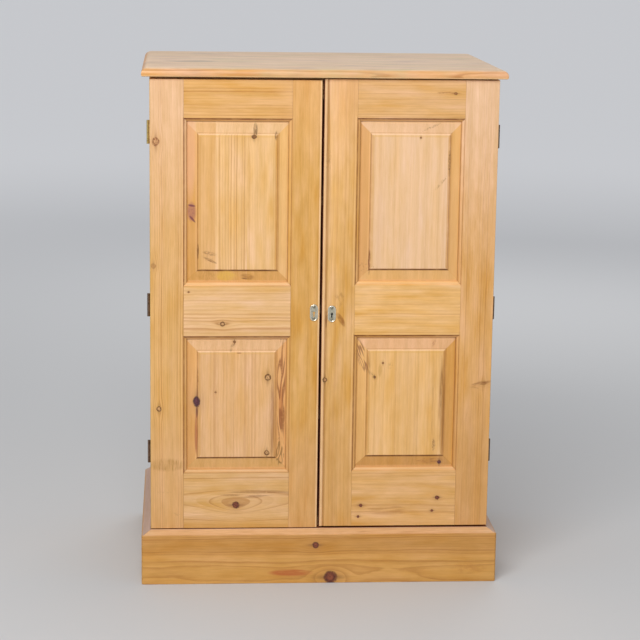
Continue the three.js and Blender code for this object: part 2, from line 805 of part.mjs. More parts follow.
function boltSlide() {
  const rod = bar(boltRadius, boltLength, new THREE.Vector3(0, boltCentreDepth, -boltTail), alongZ);
  const knobHeight = boltLoopHeight + fit + boltKnobRadius;
  const knob = bar(boltKnobRadius, boltRadius + boltKnobLength,
    new THREE.Vector3(0, boltCentreDepth, knobHeight), alongY, hingeFacets);
  return joined(rod, knob);
}

function turnedOver(body) {
  return solid(geometryOf(body).scale(1, 1, -1));
}

// Assembly.

function carcass() {
  const group = new THREE.Group();
  const sides = { left: [1, leftDoorBottom], right: [-1, rightDoorBottom] };
  const { innerPine, doorPine, plinthPine, topPine } = finishes;
  for (const [name, [hand, doorBottom]] of Object.entries(sides)) {
    const handed = (body) => (hand > 0 ? body : mirroredX(body));
    const side = piece(`side_${name}`, handed(sidePanel(hingeHeights(name), doorBottom)), doorPine);
    side.position.x = -hand * halfWidth;
    group.add(side);
    group.add(piece(`plinth_${name}`, handed(plinthSide()), plinthPine));
    group.add(piece(`base_block_${name}`, handed(baseBlock()), innerPine));
    for (const [level, top] of Object.entries(shelfTops)) {
      group.add(piece(`shelf_cleat_${level}_${name}`, handed(cleat(top)), innerPine));
    }
  }
  for (const [level, top] of Object.entries(shelfTops)) {
    group.add(piece(`shelf_${level}`, shelf(top), innerPine));
  }
  for (let index = 0; index < backBoardCount; index += 1) {
    group.add(piece(`back_board_${index + 1}`, backBoard(index), innerPine));
  }
  group.add(piece('bottom_board', bottomBoard(), innerPine));
  group.add(piece('top_front_rail', topFrontRail(), innerPine));
  group.add(piece('top_back_rail', topBackRail(), innerPine));
  group.add(piece('top_board', topBoard(), topPine));
  group.add(piece('base_front_rail', baseFrontRail(), plinthPine));
  group.add(piece('plinth_front', plinthFront(), plinthPine));
  return group;
}

// The seven wooden pieces of a door, which both doors share apart from the meeting stile.
function doorWood(name, handed, meeting) {
  const group = new THREE.Group();
  const { doorPine, panelPine } = finishes;
  group.add(piece(`${name}_door_hinge_stile`, handed(hingeStileBody(hingeHeights(name))), doorPine));
  group.add(piece(`${name}_door_meeting_stile`, handed(meeting), doorPine));
  for (const [place, rail] of Object.entries(rails)) {
    group.add(piece(`${name}_door_${place}_rail`, handed(railBody(rail)), doorPine));
  }
  for (const [place, opening] of Object.entries(openings)) {
    group.add(piece(`${name}_door_${place}_panel`, handed(raisedPanel(opening)), panelPine));
  }
  return group;
}

// Both leaves of a door's hinges. They share the door's group, because their sizes start at it.
function hinges(name, handed) {
  const group = new THREE.Group();
  for (const [place, height] of Object.entries(hingeHeights(name))) {
    const metal = name === 'left' && place === 'upper' ? finishes.brass : finishes.darkSteel;
    const leaves = { fixed_leaf: fixedLeaf(), door_leaf: doorLeaf() };
    for (const [part, body] of Object.entries(leaves)) {
      const leaf = piece(`${name}_hinge_${place}_${part}`, handed(moved(body, -hingeAxisOut, 0, 0)), metal);
      leaf.position.set(0, hingeAxisY, height - hingeLength / 2);
      group.add(leaf);
    }
  }
  return group;
}

function leftDoor() {
  const group = new THREE.Group();
  const asBuilt = (body) => body;
  const meeting = cut(meetingStileBody(leftDoorWidth), strikeShape(fit), strikeSocket());
  group.add(doorWood('left', asBuilt, meeting));
  group.add(hinges('left', asBuilt));
  const dummyX = leftDoorWidth - dummyPlateInset;
  group.add(piece('keyhole_plate_left', keyholePlate(dummyX, dummyPlateHeight), finishes.nickel));
  group.add(piece('strike_plate', strikePlate(), finishes.brass));
  const boltFoot = {
    top: topRailLow - leftDoorBottom - boltRest - boltPlateHeight - boltRest,
    bottom: bottomBoardTop - leftDoorBottom + boltRest + boltPlateHeight + boltRest,
  };
  for (const [place, foot] of Object.entries(boltFoot)) {
    const turned = place === 'top' ? asBuilt : turnedOver;
    const body = piece(`${place}_bolt_body`, turned(boltBody()), finishes.brass);
    const slide = piece(`${place}_bolt_slide`, turned(boltSlide()), finishes.brass);
    for (const part of [body, slide]) {
      part.position.set(leftDoorWidth - boltInset, 0, foot);
      group.add(part);
    }
  }
  group.position.set(-halfWidth, doorFaceY, leftDoorBottom);
  return group;
}

function rightDoor() {
  const group = new THREE.Group();
  const throughHole = keyhole(keyholeX, keyholeHeight, -overrun, lockCaseFront + overrun);
  const meeting = cut(meetingStileBody(rightDoorWidth), beadCutter(), lockShape(fit), throughHole);
  group.add(doorWood('right', mirroredX, meeting));
  group.add(hinges('right', mirroredX));
  const plate = mirroredX(keyholePlate(keyholeX, keyholeHeight));
  group.add(piece('keyhole_plate_right', plate, finishes.nickel));
  group.add(piece('lock_case', mirroredX(lockCase()), finishes.steel));
  group.add(piece('lock_bolt', mirroredX(lockBolt()), finishes.brass));
  group.position.set(halfWidth, doorFaceY, rightDoorBottom);
  return group;
}

const cupboard = new THREE.Group();
cupboard.add(carcass(), leftDoor(), rightDoor());

export default cupboard;
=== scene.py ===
"""Looks of a stripped pine jelly cupboard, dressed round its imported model.

Blender units are metres. Sizes of the wood's figure are written in millimetres and turned into
metres by MM. X runs to the right, Y from the front to the back, Z up from the floor.
"""

import json
import math
import random
from functools import partialmethod, reduce
from itertools import product
from typing import NamedTuple

import bmesh
import bpy
from mathutils import Matrix, Vector


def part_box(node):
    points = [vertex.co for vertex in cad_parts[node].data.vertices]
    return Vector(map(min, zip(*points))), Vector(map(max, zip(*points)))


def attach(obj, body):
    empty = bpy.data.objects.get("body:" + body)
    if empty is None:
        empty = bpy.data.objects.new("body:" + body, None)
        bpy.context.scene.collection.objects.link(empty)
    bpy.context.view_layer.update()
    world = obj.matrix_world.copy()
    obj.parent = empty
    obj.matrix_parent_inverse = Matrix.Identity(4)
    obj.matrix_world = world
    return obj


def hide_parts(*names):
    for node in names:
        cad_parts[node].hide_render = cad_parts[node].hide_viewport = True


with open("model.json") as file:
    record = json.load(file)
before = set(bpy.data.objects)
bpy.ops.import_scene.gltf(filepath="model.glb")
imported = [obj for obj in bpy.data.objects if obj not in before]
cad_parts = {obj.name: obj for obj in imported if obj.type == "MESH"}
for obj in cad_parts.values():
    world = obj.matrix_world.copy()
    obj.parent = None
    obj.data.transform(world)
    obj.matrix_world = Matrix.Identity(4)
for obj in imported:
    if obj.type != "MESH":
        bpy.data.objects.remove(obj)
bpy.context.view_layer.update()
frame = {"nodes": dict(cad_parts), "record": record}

MM = 0.001


# Shader sums. A Field is a number or a colour that varies over a surface, so that sums of fields
# read as sums.

class Field:
    def __init__(self, tree, socket):
        self.tree = tree
        self.socket = socket

    def math(self, operation, *others):
        return add_node("ShaderNodeMath", dict(enumerate((self, *others))), operation=operation)[0]

    __add__ = partialmethod(math, "ADD")
    __sub__ = partialmethod(math, "SUBTRACT")
    __mul__ = partialmethod(math, "MULTIPLY")
    __truediv__ = partialmethod(math, "DIVIDE")

    def over(self, low, high):
        """A smooth rise from 0 at low to 1 at high, or a fall where low is the greater."""
        ends = (high, low, 1, 0) if low > high else (low, high, 0, 1)
        return add_node("ShaderNodeMapRange", dict(enumerate((self, *ends))),
                        interpolation_type="SMOOTHSTEP")[0]


def plug(value, socket):
    if isinstance(value, Field):
        value.tree.links.new(value.socket, socket)
    else:
        socket.default_value = value


def add_node(kind, inputs, **settings):
    """Adds a node where the fields among its inputs are, and gives its outputs as fields."""
    tree = next(value.tree for value in inputs.values() if isinstance(value, Field))
    node = tree.nodes.new(kind)
    for setting, value in settings.items():
        setattr(node, setting, value)
    for key, value in inputs.items():
        plug(value, node.inputs[key])
    return [Field(tree, socket) for socket in node.outputs]


def point(x, y, z):
    return add_node("ShaderNodeCombineXYZ", {"X": x, "Y": y, "Z": z})[0]


def noise(place, detail=2, roughness=0.5):
    """Soft noise about 0, between about -0.5 and 0.5, in cells one unit across."""
    settings = {"Vector": place, "Scale": 1, "Detail": detail, "Roughness": roughness}
    return add_node("ShaderNodeTexNoise", settings)[0] - 0.5


def dice(value):
    """A number from 0 to 1 that changes at random with a whole number."""
    return add_node("ShaderNodeTexWhiteNoise", {"W": value}, noise_dimensions="1D")[0]


def squares(first, *others):
    """The sum of the squares of some fields."""
    return sum((field * field for field in others), first * first)


def bell(*fields):
    """A hump of height 1 where every field is 0, and about a third of it one unit away."""
    return (squares(*fields) * -1).math("EXPONENT")


def blend(share, under, over, mode="MIX"):
    """Lays a share of one colour over another. The node's colours are its inputs 6 and 7."""
    return add_node("ShaderNodeMix", {0: share, 6: under, 7: over}, data_type="RGBA",
                    blend_type=mode)[2]


def srgb(code):
    """The linear colour of a hexadecimal display colour such as "d9a865"."""
    parts = [int(code[i:i + 2], 16) / 255 for i in (0, 2, 4)]
    linear = [c / 12.92 if c <= 0.04045 else ((c + 0.055) / 1.055) ** 2.4 for c in parts]
    return (*linear, 1)


def new_material(name):
    """A material, the inputs of its shader, and the object's own x, y and z in millimetres."""
    material = bpy.data.materials.new(name)
    material.use_nodes = True
    tree = material.node_tree
    own = Field(tree, tree.nodes.new("ShaderNodeTexCoord").outputs["Object"])
    parts = add_node("ShaderNodeSeparateXYZ", {0: own})
    place = {axis: part / MM for axis, part in zip("xyz", parts)}
    return material, tree.nodes["Principled BSDF"].inputs, place


def add_bump(look, strength, height):
    """Raises a surface by a height in millimetres."""
    settings = {"Strength": strength, "Distance": 1, "Height": height * MM}
    plug(add_node("ShaderNodeBump", settings)[0], look["Normal"])


class Group:
    """A node group. body(group) asks it for inputs by name and gives results by name. They are
    numbers, or colours where the name ends in colour."""

    def __init__(self, name, body):
        self.tree = bpy.data.node_groups.new(name, "ShaderNodeTree")
        self.entry = self.tree.nodes.new("NodeGroupInput").outputs
        self.results = body(self)
        leave = self.tree.nodes.new("NodeGroupOutput")
        for label, value in self.results.items():
            self.add_socket(label, "OUTPUT")
            plug(value, leave.inputs[label])

    def __getitem__(self, label):
        if label not in self.entry:
            self.add_socket(label, "INPUT")
        return Field(self.tree, self.entry[label])

    def __call__(self, **values):
        return dict(zip(self.results, add_node("ShaderNodeGroup", values, node_tree=self.tree)))

    def add_socket(self, label, way):
        kind = "Color" if label.endswith("colour") else "Float"
        self.tree.interface.new_socket(name=label, in_out=way, socket_type=f"NodeSocket{kind}")


# Camera, lights and floor.

CAMERA_PLACE = Vector((-0.3105, -4.4346, 1.4313))
CAMERA_YAW = 0.0728
CAMERA_PITCH = 0.1987
CAMERA_ROLL = 0.0138
CAMERA_LENS = 111.8
SENSOR_WIDTH = 36

FLOOR_COLOUR = (0.6, 0.6, 0.6, 1)
FLOOR_ROUGHNESS = 0.9
FLOOR_REACH = 60
FAR_GLOW_COLOUR = (0.95, 0.96, 1, 1)
FAR_GLOW = 0.3
FAR_GLOW_START = 900
FAR_GLOW_FULL = 8000
LAMP_AIM = Vector((0, -0.1, 0.62))
# For each lamp, its place, its width and height, and its power.
LAMPS = {
    "key": (Vector((-0.9, -2.75, 2.85)), 2, 1.5, 84),
    "back": (Vector((0.9, 3.2, 2.5)), 2.4, 2, 34),
}
WORLD_COLOUR = (0.8, 0.82, 0.86, 1)
WORLD_STRENGTH = 0.56


def add_object(name, data):
    thing = bpy.data.objects.new(name, data)
    bpy.context.collection.objects.link(thing)
    return thing


def make_camera():
    data = bpy.data.cameras.new("camera")
    data.lens = CAMERA_LENS
    data.sensor_width = SENSOR_WIDTH
    data.clip_end = 2 * FLOOR_REACH
    camera = add_object("camera", data)
    camera.matrix_world = (
        Matrix.Translation(CAMERA_PLACE) @ Matrix.Rotation(-CAMERA_YAW, 4, "Z")
        @ Matrix.Rotation(math.pi / 2 - CAMERA_PITCH, 4, "X") @ Matrix.Rotation(CAMERA_ROLL, 4, "Z"))
    bpy.context.scene.camera = camera


def make_lights():
    for name, (place, width, height, power) in LAMPS.items():
        data = bpy.data.lights.new(name, "AREA")
        data.shape = "RECTANGLE"
        data.size, data.size_y = width, height
        data.energy = power
        lamp = add_object(name, data)
        lamp.location = place
        lamp.rotation_euler = (LAMP_AIM - place).to_track_quat("-Z", "Y").to_euler()
        lamp.visible_glossy = name == "key"
    world = bpy.data.worlds.new("studio")
    world.use_nodes = True
    background = world.node_tree.nodes["Background"].inputs
    plug(WORLD_COLOUR, background["Color"])
    plug(WORLD_STRENGTH, background["Strength"])
    bpy.context.scene.world = world
    bpy.context.scene.view_settings.view_transform = "Standard"


def make_floor():
    """A plain pale floor, which the camera and the gloss see paler in the distance."""
    mesh = bpy.data.meshes.new("floor")
    signs = ((-1, -1), (1, -1), (1, 1), (-1, 1))
    corners = [(x * FLOOR_REACH, y * FLOOR_REACH, 0) for x, y in signs]
    mesh.from_pydata(corners, [], [(0, 1, 2, 3)])
    paper, look, place = new_material("floor_paper")
    plug(FLOOR_COLOUR, look["Base Color"])
    plug(FLOOR_ROUGHNESS, look["Roughness"])
    plug(FAR_GLOW_COLOUR, look["Emission Color"])
    tree = paper.node_tree
    rays = tree.nodes.new("ShaderNodeLightPath").outputs
    seen = Field(tree, rays["Is Camera Ray"]).math("MAXIMUM", Field(tree, rays["Is Glossy Ray"]))
    distance = squares(place["x"], place["y"]).math("SQRT")
    plug(distance.over(FAR_GLOW_START, FAR_GLOW_FULL) * seen * FAR_GLOW, look["Emission Strength"])
    mesh.materials.append(paper)
    add_object("floor", mesh)


# Pine. "along" runs with the grain, "across" over the board's face and "deep" into it, all in
# millimetres. A noise divides them by the size of its cells.

def grain_body(g):
    along, across, deep, seed = g["along"], g["across"], g["deep"], g["seed"]
    slow = noise(point(along / 340, across / 90 + seed, deep / 90), detail=1)
    quick = noise(point(along / 70 + seed, across / 22, deep / 22))
    radius = squares(across - g["pith_across"], deep - g["pith_deep"]).math("SQRT")
    reach = radius + slow * g["wander"] + quick * g["wander"] * 0.15 + g["bend"]
    turns = reach / g["ring_width"]
    turns = turns + noise(point(turns * 0.4, seed, 0.5), detail=1) * 1.5
    phase = turns.math("FRACT")
    ring = turns.math("FLOOR") + seed
    late = phase.math("POWER", dice(ring * 1.7) * 4.5 + 2) * phase.over(1, 0.9)
    strength = dice(ring).math("POWER", 2) * 1.5 + 0.15
    fade = noise(point(along / 90, across / 7 + seed, 3.5), detail=3) * 1.9 + 1
    return {
        "late": (late * strength * fade * 2).math("MINIMUM", 1),
        "early": phase.over(0.4, 0.05) * dice(ring * 2.3),
        "streak": noise(point(along / 48, across / 2 + seed, deep / 2), 3, 0.75),
        "tone": noise(point(along / 420, across / 11 + seed, deep / 30)),
        "patch": noise(point(along / 130 + seed, across / 28, deep / 28)),
        "cloud": noise(point(along / 38, across / 17 + seed, deep / 17), detail=3),
    }


def from_middle(g):
    """How far a place is from the middle of a knot or a mark, along and across the grain."""
    return g["along"] - g["middle_along"], g["across"] - g["middle_across"]


def knot_bend_body(g):
    """How the rings flow round a knot: a push across the grain, and a lens of closed rings."""
    along, across = from_middle(g)
    near = bell(along / (g["radius"] * 4.2), across / (g["radius"] * 2))
    lens = bell(along / g["length"], across / g["height"])
    return {"push": across * near * -0.85, "bend": lens * g["shift"]}


def knot_face_body(g):
    """The knot's own colours: a core, a broken rim, tails along the grain and a stain around it."""
    along, across = from_middle(g)
    along = along / (g["radius"] * g["stretch"])
    across = across / g["radius"]
    wobble = noise(point(along * 0.9, across * 0.9, g["middle_along"]), detail=3)
    far = squares(along, across).math("SQRT") + wobble * 0.7
    blotch = noise(point(along * 2.1, across * 2.1, g["middle_across"]))
    rim = far.over(0.45, 0.8) * far.over(1.3, 1) * (blotch * 1.8 + 0.85).over(0.2, 1)
    colour = blend(bell(far / 2) * 0.42, g["colour"], g["halo_colour"])
    colour = blend(bell(along / 2.3, across / 0.4) * 0.55, colour, g["rim_colour"])
    inside = blend((blotch * 2.6 + 0.4).over(0, 1) * 0.75, g["core_colour"], g["rim_colour"])
    colour = blend(far.over(1.12, 0.8) * g["core_strength"], colour, inside)
    return {"colour": blend(rim * g["rim_strength"], colour, g["rim_colour"])}


def mark_body(full, bare, detail, pattern):
    """A mark that fills an oval, whose edge fades from full to bare, where pattern(g, cells) says."""
    def body(g):
        off_along, off_across = from_middle(g)
        cosine, sine = g["turn"].math("COSINE"), g["turn"].math("SINE")
        along = off_along * cosine + off_across * sine
        across = off_across * cosine - off_along * sine
        far = squares(along / g["half_length"], across / g["half_width"])
        cells = point(along / g["cell_length"], across / g["cell_width"], g["middle_along"])
        cover = far.over(bare, full) * pattern(g, noise(cells, detail, 0.6))
        return {"colour": blend(cover * g["strength"], g["colour"], g["mark_colour"])}
    return body


def patches(g, cells):
    """A patchy stain that follows the grain."""
    return (cells * 2.2 + g["fill"]).over(0, 1)


def contours(g, cells):
    """Fine dark contour lines, closer together where fill is greater."""
    line = ((cells * g["fill"] * 16).math("FRACT") - 0.5).math("ABSOLUTE")
    broken = noise(point(g["along"] / 6, g["across"] / 6, g["middle_across"]))
    return line.over(0.34, 0.1) * (broken * 2 + 1).over(0, 1)


def sides_of_rectangle(g):
    """For each side, how far a place is inwards from it, and whether its mitres hold the place."""
    inwards = {
        "left": g["x"] - g["left"],
        "right": g["right"] - g["x"],
        "bottom": g["z"] - g["bottom"],
        "top": g["top"] - g["z"],
    }
    nearest = reduce(lambda a, b: a.math("MINIMUM", b), inwards.values())
    return {side: (distance, (distance - nearest).over(0.9, 0.1))
            for side, distance in inwards.items()}


def slopes_body(g):
    """Which of the four slopes round a raised field holds a place: 1 on that slope, 0 elsewhere."""
    return {side: distance.over(0.3, -0.9) * own
            for side, (distance, own) in sides_of_rectangle(g).items()}


def painted_shade_and_dirt_body(lines):
    """Lines of painted shade and painted highlights beside the edges of a rectangle, with some real dirt in
    the quirks, each within its own side's mitres.

    A line is its side, its start and end measured inwards from that side, a colour and a strength.
    """
    def body(g):
        sides = sides_of_rectangle(g)
        # A patchiness that breaks up the painted lines along their length.
        patchiness = noise(point(g["x"] / 21, g["z"] / 21, g["left"]), detail=3)
        patchiness = (patchiness * 2 + 0.6).over(-0.2, 0.9) * 0.5 + 0.5
        colour = g["colour"]
        for side, start, end, tint, strength in lines:
            distance, own = sides[side]
            band = distance.over(start - 0.5, start + 0.5) * distance.over(end + 0.5, end - 0.5)
            colour = blend(band * own * patchiness * g["show"] * strength, colour, srgb(tint))
        return {"colour": colour}
    return body


# Painted shade under the top moulding and in the quirks, and painted highlights on the lit sides, with some
# real dirt in the quirks.
MOULDING_SHADE_HIGHLIGHTS_AND_DIRT = [
    ("top", 0, 3.8, "864206", 0.85),
    ("top", 4.2, 6, "f0b06c", 0.45),
    ("top", 6.2, 7.6, "b8702a", 0.3),
    ("top", 7.8, 11.6, "ffcc90", 0.55),
    ("left", -5, -1.8, "ffcc90", 0.3),
    ("left", -1.2, 2.4, "94541a", 0.68),
    ("left", 5.6, 9.6, "b87c34", 0.45),
    ("right", -0.3, 1.8, "a0621c", 0.5),
    ("right", 6.4, 8.6, "94581c", 0.52),
    ("bottom", 0.8, 11, "f0b87c", 0.45),
]
# Painted shadow below and right of each raised field, and painted highlights on its top and left shoulders.
FIELD_SHADE_AND_HIGHLIGHTS = [
    ("bottom", -2.6, 1.2, "743e04", 0.88),
    ("right", -3.4, -0.2, "b27634", 0.5),
    ("right", 0, 5, "cf9244", 0.65),
    ("left", -4.4, -1.8, "ffcc90", 0.35),
    ("left", -1.8, 1.2, "a06824", 0.55),
    ("left", 1.4, 7, "d49c50", 0.55),
    ("top", -2.6, -0.6, "ac7642", 0.4),
    ("top", -0.4, 2.6, "ffdcb4", 0.45),
    ("top", 2.6, 7, "e4ae48", 0.3),
]

GRAIN = Group("pine_grain", grain_body)
KNOT_BEND = Group("knot_bend", knot_bend_body)
KNOT_FACE = Group("knot_face", knot_face_body)
STAIN = Group("stain", mark_body(0.3, 1.25, 3, patches))
SCRIBBLE = Group("scribble", mark_body(0.4, 1.1, 1, contours))
SLOPES = Group("slopes", slopes_body)
MOULDING_SHADING_AND_DIRT = Group("moulding_painted_shade_and_dirt", painted_shade_and_dirt_body(MOULDING_SHADE_HIGHLIGHTS_AND_DIRT))
FIELD_SHADING = Group("field_painted_shade", painted_shade_and_dirt_body(FIELD_SHADE_AND_HIGHLIGHTS))


# Knots and marks. A place is the frame's x and z, or x and y, or y and z, in millimetres: the two
# that lie along and across the board's grain, in the order of the alphabet.

def knot_look(core, rim, halo, core_strength, rim_strength):
    return dict(core_colour=srgb(core), rim_colour=srgb(rim), halo_colour=srgb(halo),
                core_strength=core_strength, rim_strength=rim_strength)


KNOT_LOOKS = {
    "red": knot_look("8f4c30", "54261a", "b47a45", 1, 0.8),
    "brown": knot_look("a06c38", "613a18", "bd8444", 1, 0.8),
    "rosette": knot_look("e2aa72", "83491f", "cf9a58", 0.85, 0.75),
    "ring": knot_look("e4b076", "6a4012", "c79250", 0.8, 1),
    "pin": knot_look("a9733f", "74451f", "cf9c5c", 1, 0.7),
    "purple": knot_look("6a3a44", "43242a", "b08058", 1, 0.8),
    "faint": knot_look("c58d4f", "a06f38", "d3a060", 0.6, 0.5),
}


class Knot(NamedTuple):
    """A knot. Its eye is a lens of closed rings round it: their shift, length and height."""
    kind: str
    place: tuple
    radius: float
    stretch: float = 1
    eye: tuple = (0, 45, 15)


class Mark(NamedTuple):
    """A stain or a scribble. Its length and the length of its cells, which are its patches, run with
    the grain, or stand at its turn in degrees from there towards the other axis of the face."""
    colour: str
    place: tuple
    size: tuple
    cell: tuple = (9, 2.2)
    fill: float = 0.5
    strength: float = 0.8
    turn: float = 0
    kind: Group = STAIN


class Tint(NamedTuple):
    """A band of colour between two places along one axis, with soft ends."""
    axis: str
    start: float
    end: float
    colour: str
    strength: float
    soft: float = 1
    matt: float = 0


class Pine(NamedTuple):
    """The figure of one board. Its colour is that of the early wood, as displayed, and slopes are the
    colours of a panel's left, right, bottom and top slope, each lighter or darker as painted light and
    shade. Where strips are glued up, a joint is its place across the grain and the steps there of
    shade, pith and contrast."""
    axes: str
    colour: str
    ring_width: float
    contrast: float
    pith: tuple
    wander: float
    mottle: float = 0.5
    fibre: float = 0.4
    roughness: float = 0.46
    slopes: tuple = ()
    joints: tuple = ()
    knots: tuple = ()
    marks: tuple = ()
    tints: tuple = ()


# The linear ratios of a board's yellower and pinker patches and of its late wood to its early wood.
YELLOWER = (0.92, 0.82, 0.46)
PINKER = (1.08, 1.12, 1.5)
LATER = (0.6, 0.42, 0.24)
BRIGHTEST = 0.92
STRIP_SEED_STEP = 7.3
# How strongly each slope takes its colour of painted light and shade.
SLOPE_PAINTED_SHADE = 0.65
SLOPE_CALM = 0.6
PINE_BUMP = 0.6


def scaled(colour, ratios):
    return (*(min(part * ratio, BRIGHTEST) for part, ratio in zip(colour, ratios)), 1)


def spot(thing, board, place):
    """A place on the board and the middle of a knot or a mark, along and across the grain."""
    along, across = board.axes[:2]
    middle = dict(zip(sorted((along, across)), thing.place))
    return {"along": place[along], "across": place[across], "middle_along": middle[along],
            "middle_across": middle[across]}


def bent_figure(node, board, seed, place, slopes):
    """The grain of a board as its knots bend it, and the contrast and shade of each part of it."""
    along, across, deep = (place[axis] for axis in board.axes)
    middle = dict(zip("xyz", sum(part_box(node), Vector()) / 2 / MM))
    grain_across, bend = across, 0
    for knot in board.knots:
        shift, length, height = knot.eye
        made = KNOT_BEND(**spot(knot, board, place), radius=knot.radius, shift=shift, length=length,
                         height=height)
        grain_across = grain_across + made["push"]
        bend = made["bend"] + bend
    pith_across = middle[board.axes[1]] + board.pith[0]
    contrast, shade = board.contrast, 1
    for joint, shade_step, pith_step, contrast_step in board.joints:
        past = across.math("GREATER_THAN", joint)
        seed = past * STRIP_SEED_STEP + seed
        pith_across = past * pith_step + pith_across
        shade = past * shade_step + shade
        contrast = past * contrast_step + contrast
    for slope in slopes:
        contrast = slope * -SLOPE_CALM * board.contrast + contrast
    figure = GRAIN(along=along, across=grain_across, deep=deep, seed=seed, pith_across=pith_across,
                   pith_deep=middle[board.axes[2]] + board.pith[1], ring_width=board.ring_width,
                   wander=board.wander, bend=bend)
    return figure, contrast, shade


def add_figure(board, figure, contrast):
    """The board's colour with its patches, streaks and rings."""
    colour = srgb(board.colour)
    pink, yellow, late = (scaled(colour, ratios) for ratios in (PINKER, YELLOWER, LATER))
    for name, gain, lift, share, other in (
            ("patch", 3.4, 0.1, board.mottle, pink), ("patch", -3.4, 0.1, board.mottle, yellow),
            ("streak", 3, 0, 0.3, pink), ("streak", -3, 0, 0.2, yellow)):
        colour = blend((figure[name] * gain + lift).over(0, 1) * share, colour, other)
    colour = blend(figure["early"] * contrast * 0.5, colour, pink)
    return blend(figure["late"] * contrast, colour, late)


def add_light(colour, board, figure, shade):
    """Lighter and darker streaks and clouds, which are also warmer where they are darker."""
    light = figure["streak"] * board.fibre + figure["tone"] * 0.34
    light = light + figure["cloud"] * 0.22 * board.mottle + shade
    warmth = point(light * 0.8 + 0.2, light, light * 1.8 - 0.8)
    return blend(1, colour, warmth, mode="MULTIPLY")


def add_marks(colour, node, board, place):
    """The painted shade and highlight lines of the mouldings and of the fields, then the knots, then the
    marks.
    """
    for lines, sides in edges_near(node):
        show = place["y"].over(LINES_END_DEPTH, LINES_FULL_DEPTH)
        colour = lines(colour=colour, x=place["x"], z=place["z"], show=show, **sides)["colour"]
    for knot in board.knots:
        colour = KNOT_FACE(colour=colour, **spot(knot, board, place), radius=knot.radius,
                           stretch=knot.stretch, **KNOT_LOOKS[knot.kind])["colour"]
    for mark in board.marks:
        colour = mark.kind(
            colour=colour, mark_colour=srgb(mark.colour), **spot(mark, board, place),
            half_length=mark.size[0] / 2, half_width=mark.size[1] / 2, cell_length=mark.cell[0],
            cell_width=mark.cell[1], fill=mark.fill, strength=mark.strength,
            turn=math.radians(mark.turn))["colour"]
    return colour


def pine_material(node, board, seed):
    """The material of one board, from its figure."""
    material, look, place = new_material(f"{node}_pine")
    slopes = SLOPES(x=place["x"], z=place["z"], **field_of(node)).values() if board.slopes else ()
    figure, contrast, shade = bent_figure(node, board, seed, place, slopes)
    colour = add_figure(board, figure, contrast)
    # Each slope takes its own lighter or darker colour: painted light and shade on the panel's bevels.
    for slope, tint in zip(slopes, board.slopes):
        colour = blend(slope * SLOPE_PAINTED_SHADE, colour, srgb(tint))
    gloss = figure["cloud"] * 0.18 + figure["late"] * -0.06 + board.roughness
    for tint in (*board.tints, *gap_shade_tints(node)):
        ragged = place[tint.axis] + figure["streak"] * tint.soft * 0.5
        half = tint.soft / 2
        band = ragged.over(tint.start - half, tint.start + half)
        band = band * ragged.over(tint.end + half, tint.end - half)
        colour = blend(band * tint.strength, colour, srgb(tint.colour))
        gloss = band * tint.matt + gloss
    colour = add_light(colour, board, figure, shade)
    plug(add_marks(colour, node, board, place), look["Base Color"])
    plug(gloss, look["Roughness"])
    add_bump(look, PINE_BUMP, figure["late"] * 0.1 + figure["streak"] * 0.14 + figure["cloud"] * 0.4)
    return material


# The door frames' openings, which lie one moulding wider than the boards' own edges, and the
# raised fields of the panels in them. Their lines of painted shade and highlights are on the front only.

MOULDING_WIDTH = 7
FIELD_MARGINS = {"left": 30, "right": -30, "bottom": 33.5, "top": -33.5}
LINES_END_DEPTH = -239
LINES_FULL_DEPTH = -241.5


def opening(door, level):
    """The sides of an opening, in millimetres."""
    below, above = ("middle", "top") if level == "upper" else ("bottom", "middle")
    left, right = sorted(("hinge_stile", "meeting_stile"), reverse=door == "right")
    return {
        "left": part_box(f"{door}_door_{left}")[1].x / MM - MOULDING_WIDTH,
        "right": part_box(f"{door}_door_{right}")[0].x / MM + MOULDING_WIDTH,
        "bottom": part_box(f"{door}_door_{below}_rail")[1].z / MM - MOULDING_WIDTH,
        "top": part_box(f"{door}_door_{above}_rail")[0].z / MM + MOULDING_WIDTH,
    }


def field_of(node):
    """The sides of a panel's raised field."""
    door, _, level, _ = node.split("_")
    return {side: place + FIELD_MARGINS[side] for side, place in opening(door, level).items()}


def edges_near(node):
    """The lines of painted shade and highlights that a node bears, and the sides of the rectangles that
    they follow.
    """
    if "_door_" not in node:
        return []
    door, _, part = node.split("_")[:3]
    if node.endswith("panel"):
        return [(FIELD_SHADING, field_of(node)), (MOULDING_SHADING_AND_DIRT, opening(door, part))]
    levels = {"top": ("upper",), "bottom": ("lower",)}.get(part, ("lower", "upper"))
    return [(MOULDING_SHADING_AND_DIRT, opening(door, level)) for level in levels]


# The faces and arrises beside the gaps round the doors, painted darker than the faces as painted shade for
# the gaps.

GAP_SHADE_COLOUR = "9a5624"
GAP_ARRIS_SHADE_COLOUR = "741c06"
GAP_ROUND = 0.25
GAP_ARRIS = 1
GAP_REACH = 5


def gap_shade_tint(axis, edge, way, start=-GAP_REACH, end=GAP_ROUND, colour=GAP_SHADE_COLOUR):
    """A strip from start to end, measured from an edge the way of the board, which is 1 or -1."""
    ends = sorted((edge + way * start, edge + way * end))
    return Tint(axis, *ends, colour, 1, soft=0.2, matt=0.6)


# Painted shade on the edge faces and arrises that border the gaps below and between the doors.
def gap_shade_tints(node):
    low, high = (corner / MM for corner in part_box(node))
    tints = []
    if node == "base_front_rail":
        tints.append(gap_shade_tint("z", high.z, -1))
    if node.endswith(("stile", "bottom_rail")):
        tints.append(gap_shade_tint("z", low.z, 1))
    if node.endswith("meeting_stile"):
        edge = (high.x, -1) if node.startswith("left") else (low.x, 1)
        tints.append(gap_shade_tint("x", *edge))
        tints.append(gap_shade_tint("x", *edge, GAP_ROUND, GAP_ARRIS, GAP_ARRIS_SHADE_COLOUR))
    return tints


